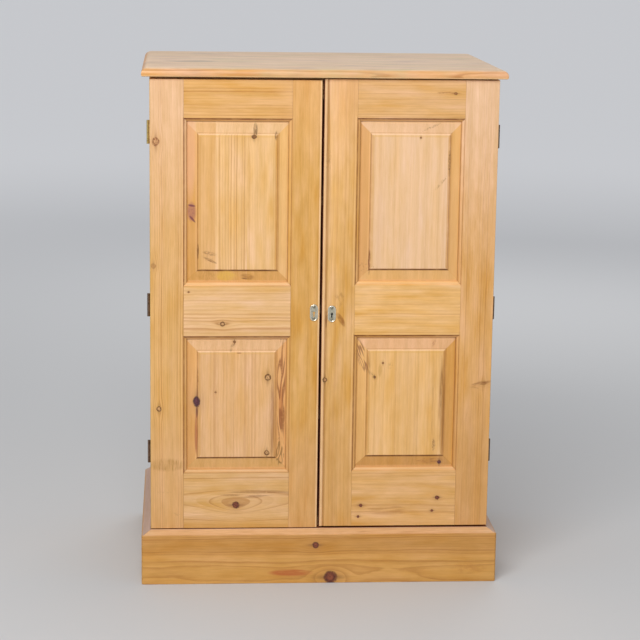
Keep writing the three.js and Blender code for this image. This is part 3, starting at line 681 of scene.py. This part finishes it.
# The boards of the front, read from the photograph, and the rest. A tint that goes on past the end
# of its board has END there, and BEVEL is where the bevel of the plinth starts.

UPRIGHT = "zxy"
LEVEL = "xzy"
FLAT = "xyz"
SIDE = "zyx"
RUNNER = "yzx"
END = 2000
BEVEL = 110.8

BOARDS = {
    "left_door_hinge_stile": Pine(
        UPRIGHT, "e3af68", ring_width=4.4, contrast=0.7, pith=(-300, 90), wander=8, mottle=0.8,
        tints=[
            # The first tint, a paler, greyer top of the stile, is a painted sheen.
            Tint("z", 880, END, "ebbe95", 0.75, 480), Tint("z", 0, 330, "e0ac7c", 0.35, 160),
            Tint("x", -369.5, -368.2, "c8a458", 0.6, 0.8)],
        knots=[
            Knot("rosette", (-357, 969), 6.8, 1.2), Knot("faint", (-362.2, 703.9), 5),
            Knot("ring", (-351.7, 390.4), 5)],
        marks=[
            Mark("7c4a26", (-357, 968), (22, 18), (5, 4), 0.1),
            Mark("a47422", (-334, 265), (30, 84), (22, 2), 0.4),
            Mark("8a5c28", (-316, 154), (9, 24), (3, 8), 0.1),
            Mark("9a6a34", (-340, 204), (6, 34), (3, 9), 0.1)]),
    "left_door_top_rail": Pine(
        LEVEL, "e2ac64", ring_width=6.5, contrast=0.55, pith=(260, 60), wander=7, mottle=0.9,
        tints=[Tint("x", -90, END, "f0bb88", 0.4, 90)]),
    "left_door_middle_rail": Pine(
        LEVEL, "edbd82", ring_width=7, contrast=0.6, pith=(-160, 60), wander=10, mottle=0.7,
        knots=[Knot("ring", (-215.1, 577.7), 4.6, eye=(7, 24, 6)), Knot("pin", (-287.8, 647.6), 2)]),
    "left_door_bottom_rail": Pine(
        LEVEL, "e4b374", ring_width=4.4, contrast=0.5, pith=(0, 22), wander=9, mottle=0.8,
        tints=[Tint("z", 0, 138, "d29a44", 0.55, 20)],
        knots=[Knot("red", (-184.3, 173.5), 7, eye=(-17, 70, 30))],
        marks=[Mark("8a5422", (-130, 198), (190, 20), (120, 14), 0.22, 0.45, kind=SCRIBBLE)]),
    "left_door_meeting_stile": Pine(
        UPRIGHT, "dea758", ring_width=7, contrast=0.22, pith=(400, 60), wander=14, mottle=1.2,
        tints=[
            Tint("z", 1010, END, "eeb67c", 0.45, 220), Tint("z", 0, 330, "dca676", 0.35, 160),
            # The last tint, a paler strip by the meeting edge, is a painted highlight on the lit arris.
            Tint("x", -10.2, -7.2, "ffd9a8", 0.55, 1.2)]),
    "left_door_upper_panel": Pine(
        UPRIGHT, "e9b877", ring_width=4.4, contrast=0.3, pith=(-150, 110), wander=7, mottle=0.8,
        slopes=("d6953f", "e6b168", "cf9037", "e8bc8a"),
        joints=[(-230.3, 0.07, 0, 0.35), (-163, -0.03, 0, -0.45)],
        tints=[Tint("x", -272, -231, "e2a862", 0.45, 5)], knots=[Knot("brown", (-149.8, 980.5), 5.2, 0.75)],
        marks=[
            Mark("7a5426", (-147, 996), (30, 10), (14, 4), 0.6),
            Mark("4e3418", (-144.5, 995), (24, 4.5), (14, 9), strength=0.6),
            Mark("6c421c", (-103, 983), (22, 6.5), (8, 5), 0.5),
            Mark("f0b48a", (-284, 960), (250, 24), (120, 20), 1.2, 0.5),
            Mark("b0705c", (-281.5, 820), (44, 20), (60, 60), 1.5, 0.75),
            Mark("6e2e40", (-281, 819), (38, 17), (7, 5), 0.1, 0.9),
            Mark("6e2e40", (-281.2, 833), (17, 5), fill=1, turn=98),
            Mark("6e2e40", (-279.6, 804), (20, 5), fill=1, turn=138),
            Mark("8a5a2c", (-243.9, 731), (32, 9), (7, 4), 0.4, turn=102),
            Mark("8a5a2c", (-241.8, 716), (32, 6), (9, 4), 0.65, turn=116),
            Mark("b08450", (-245, 726), (26, 32), (9, 10), 0.3, 0.5),
            Mark("70451c", (-268, 735), (36, 5), (12, 3), 0.6, 0.85),
            Mark("bc8636", (-249, 682), (24, 46), (8, 3), 0.5, 0.6),
            Mark("e6b64a", (-208, 682), (24, 46), (8, 3), 0.7, 0.7),
            Mark("b07838", (-162, 680), (32, 13), (12, 5), 0.7, turn=100),
            Mark("80501e", (-164, 675.5), (26, 4), (8, 4), 0.6, turn=95)]),
    "left_door_lower_panel": Pine(
        UPRIGHT, "eab77e", ring_width=6, contrast=0.3, pith=(230, 160), wander=12, mottle=0.6,
        slopes=("dd9d4c", "ecab62", "d69f50", "e9b988"),
        knots=[
            Knot("purple", (-270, 405.7), 7, 1.5), Knot("ring", (-116.6, 459.4), 6.4),
            Knot("ring", (-117.8, 290.8), 5), Knot("pin", (-229.5, 426.8), 2.4, 0.6),
            Knot("brown", (-189, 537), 2.8)],
        marks=[
            Mark("744a20", (-193.5, 527), (27, 7.5), (7, 5), 0.4, turn=23),
            Mark("b06c38", (-177, 524), (18, 14), (4, 4), 0),
            Mark("a45824", (-179, 513.5), (12, 2.6), fill=0.9, turn=90),
            Mark("bc6834", (-88, 400), (110, 10), (60, 9), 1, 0.5),
            Mark("9a6028", (-106, 365), (200, 10), (60, 5), 0.8, 0.6),
            Mark("8e4e20", (-87, 425), (270, 22), (110, 13), 0.24, 0.75, kind=SCRIBBLE),
            Mark("8a6228", (-89, 292), (70, 22), (40, 16), 0.3, 0.7, kind=SCRIBBLE),
            Mark("6e4030", (-270, 381), (26, 5), (20, 5), 0.9),
            Mark("b0663a", (-271, 334), (96, 8), (40, 6), 0.8),
            Mark("8a5628", (-268, 446), (70, 6), (14, 3), 0.4)]),
    "right_door_meeting_stile": Pine(
        UPRIGHT, "e6b168", ring_width=8, contrast=0.25, pith=(-320, 90), wander=10, mottle=1.1,
        tints=[
            Tint("z", 990, END, "e4ad7c", 0.5, 260), Tint("z", 0, 380, "d69f5c", 0.4, 240),
            # A paler strip on the bead is a painted highlight, and a darker strip in its quirk is painted
            # shade.
            Tint("x", -1.2, 5.4, "ffd6a8", 0.45, 1), Tint("x", 5.8, 9.4, "8e6224", 0.4, 1.6)],
        knots=[Knot("ring", (7, 453.7), 4.6)],
        marks=[
            # A near-black patch under the right keyhole: painted shade, the dark of the keyhole.
            Mark("150d08", (20, 596), (30, 13), (60, 60), 2, 1),
            Mark("9a5c1c", (40, 587), (36, 12), (16, 8), 0.7, turn=150),
            Mark("a46a2a", (36, 633), (34, 22), (14, 6), 0.2),
            Mark("84501c", (8, 588), (40, 5), (16, 4), 0.7),
            Mark("8a5628", (8, 933), (56, 13), (7, 4), 0.2, 0.6)]),
    "right_door_top_rail": Pine(
        LEVEL, "e5b274", ring_width=6, contrast=0.4, pith=(-300, 60), wander=8, mottle=0.9,
        knots=[Knot("pin", (276.2, 1074.7), 2.6, 1.4)],
        marks=[Mark("a0622c", (258, 1076), (54, 6), (14, 3), 0.4)]),
    "right_door_middle_rail": Pine(
        LEVEL, "f0bb73", ring_width=7, contrast=0.35, pith=(340, 90), wander=9, mottle=1.1),
    "right_door_bottom_rail": Pine(
        LEVEL, "e6b16d", ring_width=7.5, contrast=0.3, pith=(-170, 70), wander=10, mottle=1,
        knots=[
            Knot("red", (89.9, 170.7), 3.4), Knot("red", (84.6, 145.2), 2.8),
            Knot("red", (258.6, 187.6), 4.2), Knot("red", (247.6, 157.9), 2.6)],
        marks=[Mark("a4662c", (150, 160), (110, 26), (80, 14), 0.2, 0.3, kind=SCRIBBLE)]),
    "right_door_hinge_stile": Pine(
        UPRIGHT, "e3ab65", ring_width=5.4, contrast=0.45, pith=(360, 60), wander=10, mottle=1,
        # The first tint, a paler, greyer top of the stile, is a painted sheen; the second makes the bottom
        # darker.
        tints=[Tint("z", 860, END, "f2c8a2", 0.75, 520), Tint("z", 0, 360, "cf985a", 0.5, 260)],
        knots=[Knot("faint", (355, 445), 5, 0.6)],
        marks=[
            Mark("8a5220", (350, 446), (46, 9), (18, 4), 0.6, turn=80),
            Mark("a4692e", (346, 440), (22, 50), (6, 20), 0.1)]),
    "right_door_upper_panel": Pine(
        UPRIGHT, "f1c494", ring_width=9, contrast=0.12, pith=(260, 200), wander=12, mottle=0.35, fibre=0.25,
        slopes=("d79433", "e4a64c", "e4a952", "ecbc8d"), knots=[Knot("pin", (204.4, 980.7), 2)],
        marks=[
            Mark("80592a", (267, 928), (66, 7), (6, 3), 0.45),
            Mark("a4743c", (250, 884), (42, 7), (6, 3), 0.3, turn=39),
            Mark("8a6238", (228, 1003), (50, 5), (3, 5), 0.3, turn=66),
            Mark("7c4420", (99, 714), (60, 6), (10, 4), 0.6),
            Mark("96562a", (92, 700), (34, 40), (5, 5), 0.1)]),
    "right_door_lower_panel": Pine(
        UPRIGHT, "f0bc77", ring_width=7, contrast=0.22, pith=(-240, 130), wander=12, mottle=0.7, fibre=0.34,
        slopes=("e4ac60", "d39032", "bf7d24", "eab387"),
        knots=[
            Knot("brown", (115.5, 459.5), 2.6), Knot("pin", (133, 490.8), 2.2),
            Knot("purple", (261.8, 267), 4)],
        marks=[
            Mark("6e4a20", (109, 466), (30, 9), (9, 4), 0.35, turn=142),
            Mark("a87434", (148, 485), (16, 15), (5, 4), 0.2),
            Mark("c89644", (127, 474), (30, 10), (12, 6), 0.8, 0.5),
            Mark("96603a", (87, 507), (90, 26), (60, 8), 0.25, 0.8, turn=-19, kind=SCRIBBLE),
            Mark("6e3c18", (71, 546), (18, 8), (9, 6), 0.6),
            Mark("a46a26", (264, 392), (240, 15), (90, 7), 0.7, 0.7),
            Mark("80521e", (262, 430), (90, 6), (24, 3), 0.4, 0.7),
            Mark("a87438", (244, 400), (230, 4), (40, 2), 0.3, 0.6),
            Mark("6e4420", (248, 308), (32, 8), (5, 3), 0.4, 0.9),
            Mark("94502c", (240, 270), (60, 14), (16, 5), 0.3, turn=88),
            Mark("a8603a", (244, 535), (22, 7), (6, 3), 0.3, turn=25)]),
    "plinth_front": Pine(
        LEVEL, "d69c4f", ring_width=4.2, contrast=0.6, pith=(-38, 55), wander=14, mottle=1,
        tints=[
            Tint("z", 70, BEVEL, "b27a34", 0.35, 12), Tint("z", 0, 55, "e0ac5c", 0.3, 30),
            # The pale, pinkish bevel above BEVEL is a painted sheen.
            Tint("z", BEVEL, END, "eabc8e", 0.7, 1.6)],
        knots=[
            Knot("red", (-9.5, 87), 6.4, eye=(5, 26, 12)),
            Knot("red", (23.7, 13.1), 12.5, eye=(12, 34, 18))],
        marks=[
            Mark("b85a26", (-64, 24), (100, 17), (60, 8), 0.8),
            Mark("b06a2e", (330, 30), (80, 26), (20, 9), 0.3, 0.6),
            Mark("a4683a", (0, 115), (900, 18), (70, 1.6), 0.15, 0.7)]),
    "top_board": Pine(
        FLAT, "e4aa6d", ring_width=6, contrast=0.6, pith=(260, -60), wander=14, mottle=1, fibre=0.7,
        roughness=0.42, joints=[(-90, 0.03, 130, 0), (95, -0.05, -260, 0)],
        # The second tint, a pale band along the lower arris of the front edge, is a painted highlight.
        tints=[Tint("z", 1122.2, END, "ebd0b1", 0.75, 3.6), Tint("z", 1000, 1108.6, "ffd498", 0.6, 1)],
        marks=[
            Mark("a98a86", (0, 5), (1100, 760), (140, 42), 0.15, 0.7),
            Mark("b9b684", (60, -60), (1100, 760), (170, 36), 0.1, 0.7),
            Mark("877c70", (-283, -60), (130, 60), (70, 30), 0.7, 0.55),
            Mark("cc6c34", (0, -264.5), (1600, 6), (16, 2), 0.15, 0.6),
            Mark("8e8c92", (-235, 205), (110, 50), (60, 30), 0.6, 0.35)]),
}

LEVELS = ("lower", "middle", "upper")
PLAIN_BOARDS = {
    "side_left": SIDE, "side_right": SIDE, "bottom_board": FLAT, "top_front_rail": LEVEL,
    "top_back_rail": LEVEL, **{f"shelf_{level}": FLAT for level in LEVELS},
    **{f"shelf_cleat_{level}_{side}": RUNNER for side in ("left", "right") for level in LEVELS},
    **{f"back_board_{number}": UPRIGHT for number in (1, 2, 3, 4)}, "plinth_left": RUNNER,
    "plinth_right": RUNNER, "base_front_rail": LEVEL, "base_block_left": UPRIGHT,
    "base_block_right": UPRIGHT,
}
AREA_PER_KNOT = 60000
WIDEST_STRIP = 300
JOINT_SHARES = (0.28, 0.51, 0.74)


def make_plain_board(node, axes):
    """A board that the photograph doesn't show, with a few knots of its own."""
    pick = random.Random(node)
    low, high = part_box(node)
    span = dict(zip("xyz", zip(low / MM, high / MM)))
    length, width = (span[axis][1] - span[axis][0] for axis in axes[:2])
    knots = []
    for _ in range(round(length * width / AREA_PER_KNOT)):
        place = [pick.uniform(*span[axis]) for axis in sorted(axes[:2])]
        kind = pick.choice(("red", "brown", "ring", "pin", "faint"))
        knots.append(Knot(kind, place, pick.uniform(3, 9), eye=(pick.uniform(0, 10), 45, 15)))
    tints = []
    colour, roughness = "deb67e", 0.62
    if node.startswith(("plinth", "base_front")):
        colour, roughness = "cf9a52", 0.46
        # The mauve-grey bevel above BEVEL is a painted sheen.
        tints = [Tint("z", BEVEL, END, "bda092", 0.8, soft=1.6)]
    elif node.startswith("side"):
        colour, roughness = "dcaa6a", 0.46
    joints = []
    if width > WIDEST_STRIP:
        for share in JOINT_SHARES:
            joint = span[axes[1]][0] + width * share
            joints.append((joint, pick.uniform(-0.05, 0.05), pick.uniform(-200, 200), 0))
    return Pine(
        axes, colour, ring_width=pick.uniform(4.5, 8), contrast=pick.uniform(0.4, 0.6),
        pith=(pick.uniform(120, 260) * pick.choice((-1, 1)), pick.uniform(50, 160)),
        wander=pick.uniform(9, 16), roughness=roughness, joints=joints, knots=knots, tints=tints)


# Finishing the wood: each board becomes a copy of its solid with eased edges.

DOOR_EDGE_ROUND = 0.8 * MM
BOARD_EDGE_ROUND = 1 * MM
PANEL_EDGE_ROUND = 0.5 * MM
METAL_EDGE_ROUND = 0.22 * MM
SHARP_ANGLE = math.radians(28)
FLAT_ANGLE = math.radians(0.5)
NEAR = 0.02 * MM


def body_and_slot(node):
    record = frame["record"]
    body = next(body for body, nodes in record["behaviour"]["bodies"].items() if node in nodes)
    return body, next(row["material_slot"] for row in record["subparts"] if row["node"] == node)


def new_piece(name, mesh, body, slot, material):
    """Turns a bmesh into a piece of the scene that rides on a body."""
    data = bpy.data.meshes.new(name)
    mesh.to_mesh(data)
    mesh.free()
    data.materials.append(material)
    piece = add_object(name, data)
    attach(piece, body)
    return piece


def eased_copy(node, radius, material, eased=lambda edge: True):
    """Replaces a node by a copy whose edges are rounded where eased(edge) says so."""
    mesh = bmesh.new()
    mesh.from_mesh(frame["nodes"][node].data)
    bmesh.ops.remove_doubles(mesh, verts=mesh.verts, dist=0.5 * NEAR)
    bmesh.ops.dissolve_limit(mesh, angle_limit=FLAT_ANGLE, verts=mesh.verts, edges=mesh.edges)
    weights = mesh.edges.layers.float.new("bevel_weight_edge")
    for edge in mesh.edges:
        sharp = edge.is_manifold and edge.calc_face_angle(0.0) > SHARP_ANGLE
        edge[weights] = 1.0 if sharp and eased(edge) else 0.0
        edge.smooth = not sharp
    for face in mesh.faces:
        face.smooth = True
    piece = new_piece(f"{node}_finished", mesh, *body_and_slot(node), material)
    bevel = piece.modifiers.new("eased edges", "BEVEL")
    bevel.limit_method = "WEIGHT"
    bevel.width = radius
    bevel.segments = 2
    bevel.use_clamp_overlap = False
    bevel.harden_normals = True
    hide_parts(node)


def outline_of_door(door):
    """A test of whether an edge is one of the outer arrises of a door."""
    corners = [corner for part in ("hinge_stile", "meeting_stile")
               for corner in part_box(f"{door}_door_{part}")]
    limits = [(axis, end(corner[axis] for corner in corners))
              for axis in (0, 2) for end in (min, max)]

    def test(edge):
        a, b = (v.co for v in edge.verts)
        return abs(a.y - b.y) < NEAR and any(
            abs(a[axis] - limit) < NEAR and abs(b[axis] - limit) < NEAR for axis, limit in limits)

    return test


def finish_wood():
    for index, node in enumerate((*BOARDS, *PLAIN_BOARDS)):
        board = BOARDS.get(node) or make_plain_board(node, PLAIN_BOARDS[node])
        material = pine_material(node, board, 3.7 * index + 1.3)
        if node.endswith("panel"):
            eased_copy(node, PANEL_EDGE_ROUND, material)
        elif "_door_" in node:
            eased_copy(node, DOOR_EDGE_ROUND, material, outline_of_door(node.split("_")[0]))
        else:
            eased_copy(node, BOARD_EDGE_ROUND, material)


# Metal.

METAL_BUMP = 0.35
METAL_LOOKS = {
    "hinge_steel": ("8a7462", "453226", 0.42),
    "hinge_brass": ("d8c07c", "7a6338", 0.38),
    "plate_nickel": ("d2cdb8", "9a9480", 0.4),
    "plate_rim": ("fdf6e4", "d0c8b2", 0.22),
    "plate_screw": ("a8a492", "5c5848", 0.3),
    "lock_steel": ("a7a49c", "6f675c", 0.4),
    "bolt_brass": ("c7a45c", "84683a", 0.36),
}


def metal_material(name, colour, dirt, roughness):
    """Worn metal: a tarnish that gathers in patches, and fine scratches."""
    material, look, place = new_material(f"{name}_worn")
    patch = noise(point(*(field / 6 for field in place.values())), 4, 0.6)
    fine = noise(point(*(field / 0.7 for field in place.values())))
    cover = (patch * 2 + fine * 0.5 + 0.35).over(0.1, 0.9)
    plug(blend(cover * 0.75, srgb(colour), srgb(dirt)), look["Base Color"])
    plug(cover * 0.25 + fine * 0.08 + roughness, look["Roughness"])
    plug(1, look["Metallic"])
    add_bump(look, METAL_BUMP, patch * 0.06 + fine * 0.03)
    return material


METALS = {name: metal_material(name, *look) for name, look in METAL_LOOKS.items()}


def finish_metal():
    for node in frame["nodes"]:
        _, slot = body_and_slot(node)
        if slot in METALS:
            eased_copy(node, METAL_EDGE_ROUND, METALS[slot])


# Screws and nails.

HEAD_SIDES = 24
HEAD_RINGS = 4
HEAD_RIM_SHARE = 0.3


class Fastener(NamedTuple):
    """A kind of screw or nail head. Sizes are in millimetres, and a nail has no slot."""
    radius: float
    rise: float
    slot_width: float


HINGE_SCREW = Fastener(2.9, 0.3, 0.8)
PLATE_SCREW = Fastener(3, 1.2, 0.7)
LOCK_SCREW = Fastener(2.6, 0.5, 0.7)
BOLT_SCREW = Fastener(2.4, 0.9, 0.7)
CLEAT_SCREW = Fastener(4, 0.4, 1.1)
NAIL = Fastener(2.3, 0.5, 0)


def bridge(mesh, lower, upper):
    """Joins two rings of vertices by smooth faces."""
    for i in range(len(lower)):
        j = (i + 1) % len(lower)
        mesh.faces.new((lower[i], lower[j], upper[j], upper[i])).smooth = True


def domed_head(kind):
    """A closed dome on a short rim, its foot at the origin and its top along Z."""
    dome = bmesh.new()
    turns = [2 * math.pi * i / HEAD_SIDES for i in range(HEAD_SIDES)]
    rings = []
    for ring in range(HEAD_RINGS):
        angle = ring / HEAD_RINGS * math.pi / 2
        across = kind.radius * MM * math.cos(angle)
        up = kind.rise * MM * (HEAD_RIM_SHARE + (1 - HEAD_RIM_SHARE) * math.sin(angle))
        rings.append([dome.verts.new((across * math.cos(t), across * math.sin(t), up)) for t in turns])
    foot = [dome.verts.new((v.co.x, v.co.y, 0)) for v in rings[0]]
    for lower, upper in zip((foot, *rings), rings):
        bridge(dome, lower, upper)
    peak = dome.verts.new((0, 0, kind.rise * MM))
    for i in range(HEAD_SIDES):
        dome.faces.new((rings[-1][i], rings[-1][(i + 1) % HEAD_SIDES], peak)).smooth = True
    dome.faces.new(reversed(foot)).smooth = True
    return dome


def halve(dome, side, gap):
    """Cuts a dome back to one side of its slot, and closes it."""
    cut = bmesh.ops.bisect_plane(
        dome, geom=(*dome.verts, *dome.edges, *dome.faces), dist=NEAR / 10,
        plane_co=(0, side * gap / 2, 0), plane_no=(0, side, 0), clear_inner=True)
    rim = [e for e in cut["geom_cut"] if isinstance(e, bmesh.types.BMEdge)]
    for face in bmesh.ops.holes_fill(dome, edges=rim)["faces"]:
        face.smooth = False


def merge(whole, part):
    """Moves one bmesh into another."""
    data = bpy.data.meshes.new("part")
    part.to_mesh(data)
    part.free()
    whole.from_mesh(data)
    bpy.data.meshes.remove(data)


def make_heads(name, kind, centres, facing, body, slot, metal=None):
    """A group of heads as one piece, with slots turned at random."""
    pick = random.Random(name)
    facing_turn = Vector(facing).to_track_quat("Z", "Y").to_matrix().to_4x4()
    whole = bmesh.new()
    for centre in centres:
        slot_turn = Matrix.Rotation(pick.uniform(0, math.pi), 4, "Z")
        for side in (1, -1) if kind.slot_width else (0,):
            dome = domed_head(kind)
            if side:
                halve(dome, side, kind.slot_width * MM)
            dome.transform(Matrix.Translation(centre) @ facing_turn @ slot_turn)
            merge(whole, dome)
    new_piece(name, whole, body, slot, METALS[metal or slot])


HINGE_SCREW_SHARES = (0.14, 0.5, 0.86)
HINGE_SCREW_INSETS = (6.1 * MM, 10.2 * MM, 6.1 * MM)


def make_hinge_screws():
    for node in frame["nodes"]:
        if not node.endswith("leaf"):
            continue
        low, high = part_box(node)
        fixed = node.endswith("fixed_leaf")
        inner_edge, out = (high.x, -1) if node.startswith("left") else (low.x, 1)
        face_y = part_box("side_left")[0].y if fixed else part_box("left_door_hinge_stile")[1].y
        centres = [
            (inner_edge + out * inset, face_y, low.z + share * (high.z - low.z))
            for inset, share in zip(HINGE_SCREW_INSETS, HINGE_SCREW_SHARES)]
        facing = (0, -1 if fixed else 1, 0)
        make_heads(f"{node}_screws", HINGE_SCREW, centres, facing, *body_and_slot(node))


PLATE_SCREW_INSET = 6.2 * MM
PLATE_BORDER = 0.6 * MM
PLATE_RIM = 2.5 * MM
PLATE_RIM_RISE = 1 * MM
PLATE_RIM_SECTION = [
    (0, 0), (0.1, 0.45), (0.28, 0.85), (0.5, 1), (0.72, 0.85), (0.9, 0.45), (1, 0)]
STADIUM_STEPS = 16


def stadium(centre, half_width, half_height, depth):
    """Points round a stadium that faces the front."""
    points = []
    straight = half_height - half_width
    for middle, start in ((straight, 0), (-straight, math.pi)):
        for i in range(STADIUM_STEPS + 1):
            angle = start + i / STADIUM_STEPS * math.pi
            points.append((centre.x + half_width * math.cos(angle), depth,
                           centre.z + middle + half_width * math.sin(angle)))
    return points


def make_plate_details(node):
    """The raised rim of a keyhole plate, and its two screws."""
    low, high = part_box(node)
    centre = (low + high) / 2
    half_width = (high.x - low.x) / 2 - PLATE_BORDER
    half_height = (high.z - low.z) / 2 - PLATE_BORDER
    mesh = bmesh.new()
    rings = []
    for inset, rise in PLATE_RIM_SECTION:
        ring = stadium(centre, half_width - inset * PLATE_RIM, half_height - inset * PLATE_RIM,
                       low.y - rise * PLATE_RIM_RISE + NEAR)
        rings.append([mesh.verts.new(co) for co in ring])
    for outer, inner in zip(rings, (*rings[1:], rings[0])):
        bridge(mesh, outer, inner)
    bmesh.ops.recalc_face_normals(mesh, faces=mesh.faces)
    new_piece(f"{node}_rim", mesh, *body_and_slot(node), METALS["plate_rim"])
    screws = product((centre.x,), (low.y,),
                     (low.z + PLATE_SCREW_INSET, high.z - PLATE_SCREW_INSET))
    make_heads(f"{node}_screws", PLATE_SCREW, screws, (0, -1, 0), *body_and_slot(node), "plate_screw")


LOCK_SCREW_INSET = 3.4 * MM
STRIKE_SCREW_INSET = 6 * MM
BOLT_PLATE = 1.5 * MM
BOLT_SCREW_INSET = 3.2 * MM
BOLT_SCREW_SPREAD = 9 * MM


def make_lock_screws():
    low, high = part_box("lock_case")
    backs = product((low.x + 3 * LOCK_SCREW_INSET, high.x - LOCK_SCREW_INSET), (high.y,),
                    (low.z + LOCK_SCREW_INSET, high.z - LOCK_SCREW_INSET))
    make_heads("lock_back_screws", LOCK_SCREW, backs, (0, 1, 0), "right_door", "lock_steel")
    low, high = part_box("strike_plate")
    edges = product((high.x,), ((low.y + high.y) / 2,),
                    (low.z + STRIKE_SCREW_INSET, high.z - STRIKE_SCREW_INSET))
    make_heads("strike_screws", LOCK_SCREW, edges, (1, 0, 0), "left_door", "lock_steel")


def make_bolt_screws():
    for end in ("top", "bottom"):
        low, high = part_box(f"{end}_bolt_body")
        middle = (low.z + high.z) / 2
        centres = product(
            (low.x + BOLT_SCREW_INSET, high.x - BOLT_SCREW_INSET), (low.y + BOLT_PLATE,),
            (middle - BOLT_SCREW_SPREAD, middle + BOLT_SCREW_SPREAD))
        make_heads(f"{end}_bolt_screws", BOLT_SCREW, centres, (0, 1, 0), "left_door", "bolt_brass")


BACK_NAIL_INSET = 32 * MM
BOTTOM_BOARD_NAIL_DROP = 9 * MM
TOP_RAIL_NAIL_RISE = 24 * MM
SHELF_NAIL_INSET = 10 * MM
SHELF_NAIL_DEPTHS = (-0.15, 0.03, 0.21)
CLEAT_SCREW_DEPTHS = (-0.11, 0.03, 0.2)


def make_carcass_nails():
    """Nails of the back and the shelves, and screws of the cleats."""
    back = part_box("back_board_1")[1].y
    heights = [sum(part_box(f"shelf_{level}"), Vector()).z / 2 for level in LEVELS]
    heights += [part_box("bottom_board")[1].z - BOTTOM_BOARD_NAIL_DROP,
                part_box("top_back_rail")[0].z + TOP_RAIL_NAIL_RISE]
    columns = []
    for number in (1, 2, 3, 4):
        low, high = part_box(f"back_board_{number}")
        columns += [low.x + BACK_NAIL_INSET, high.x - BACK_NAIL_INSET]
    steel = ("carcass", "hinge_steel")
    make_heads("back_nails", NAIL, product(columns, (back,), heights), (0, 1, 0), *steel)
    for level in LEVELS:
        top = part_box(f"shelf_{level}")[1].z
        columns = (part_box("side_left")[1].x + SHELF_NAIL_INSET,
                   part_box("side_right")[0].x - SHELF_NAIL_INSET)
        nails = product(columns, SHELF_NAIL_DEPTHS, (top,))
        make_heads(f"shelf_{level}_nails", NAIL, nails, (0, 0, 1), *steel)
        for side, out in (("left", 1), ("right", -1)):
            low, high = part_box(f"shelf_cleat_{level}_{side}")
            face = high.x if side == "left" else low.x
            screws = product((face,), CLEAT_SCREW_DEPTHS, ((low.z + high.z) / 2,))
            make_heads(f"shelf_cleat_{level}_{side}_screws", CLEAT_SCREW, screws, (out, 0, 0), *steel)


make_camera()
make_lights()
make_floor()
finish_wood()
finish_metal()
make_hinge_screws()
make_plate_details("keyhole_plate_left")
make_plate_details("keyhole_plate_right")
make_lock_screws()
make_bolt_screws()
make_carcass_nails()
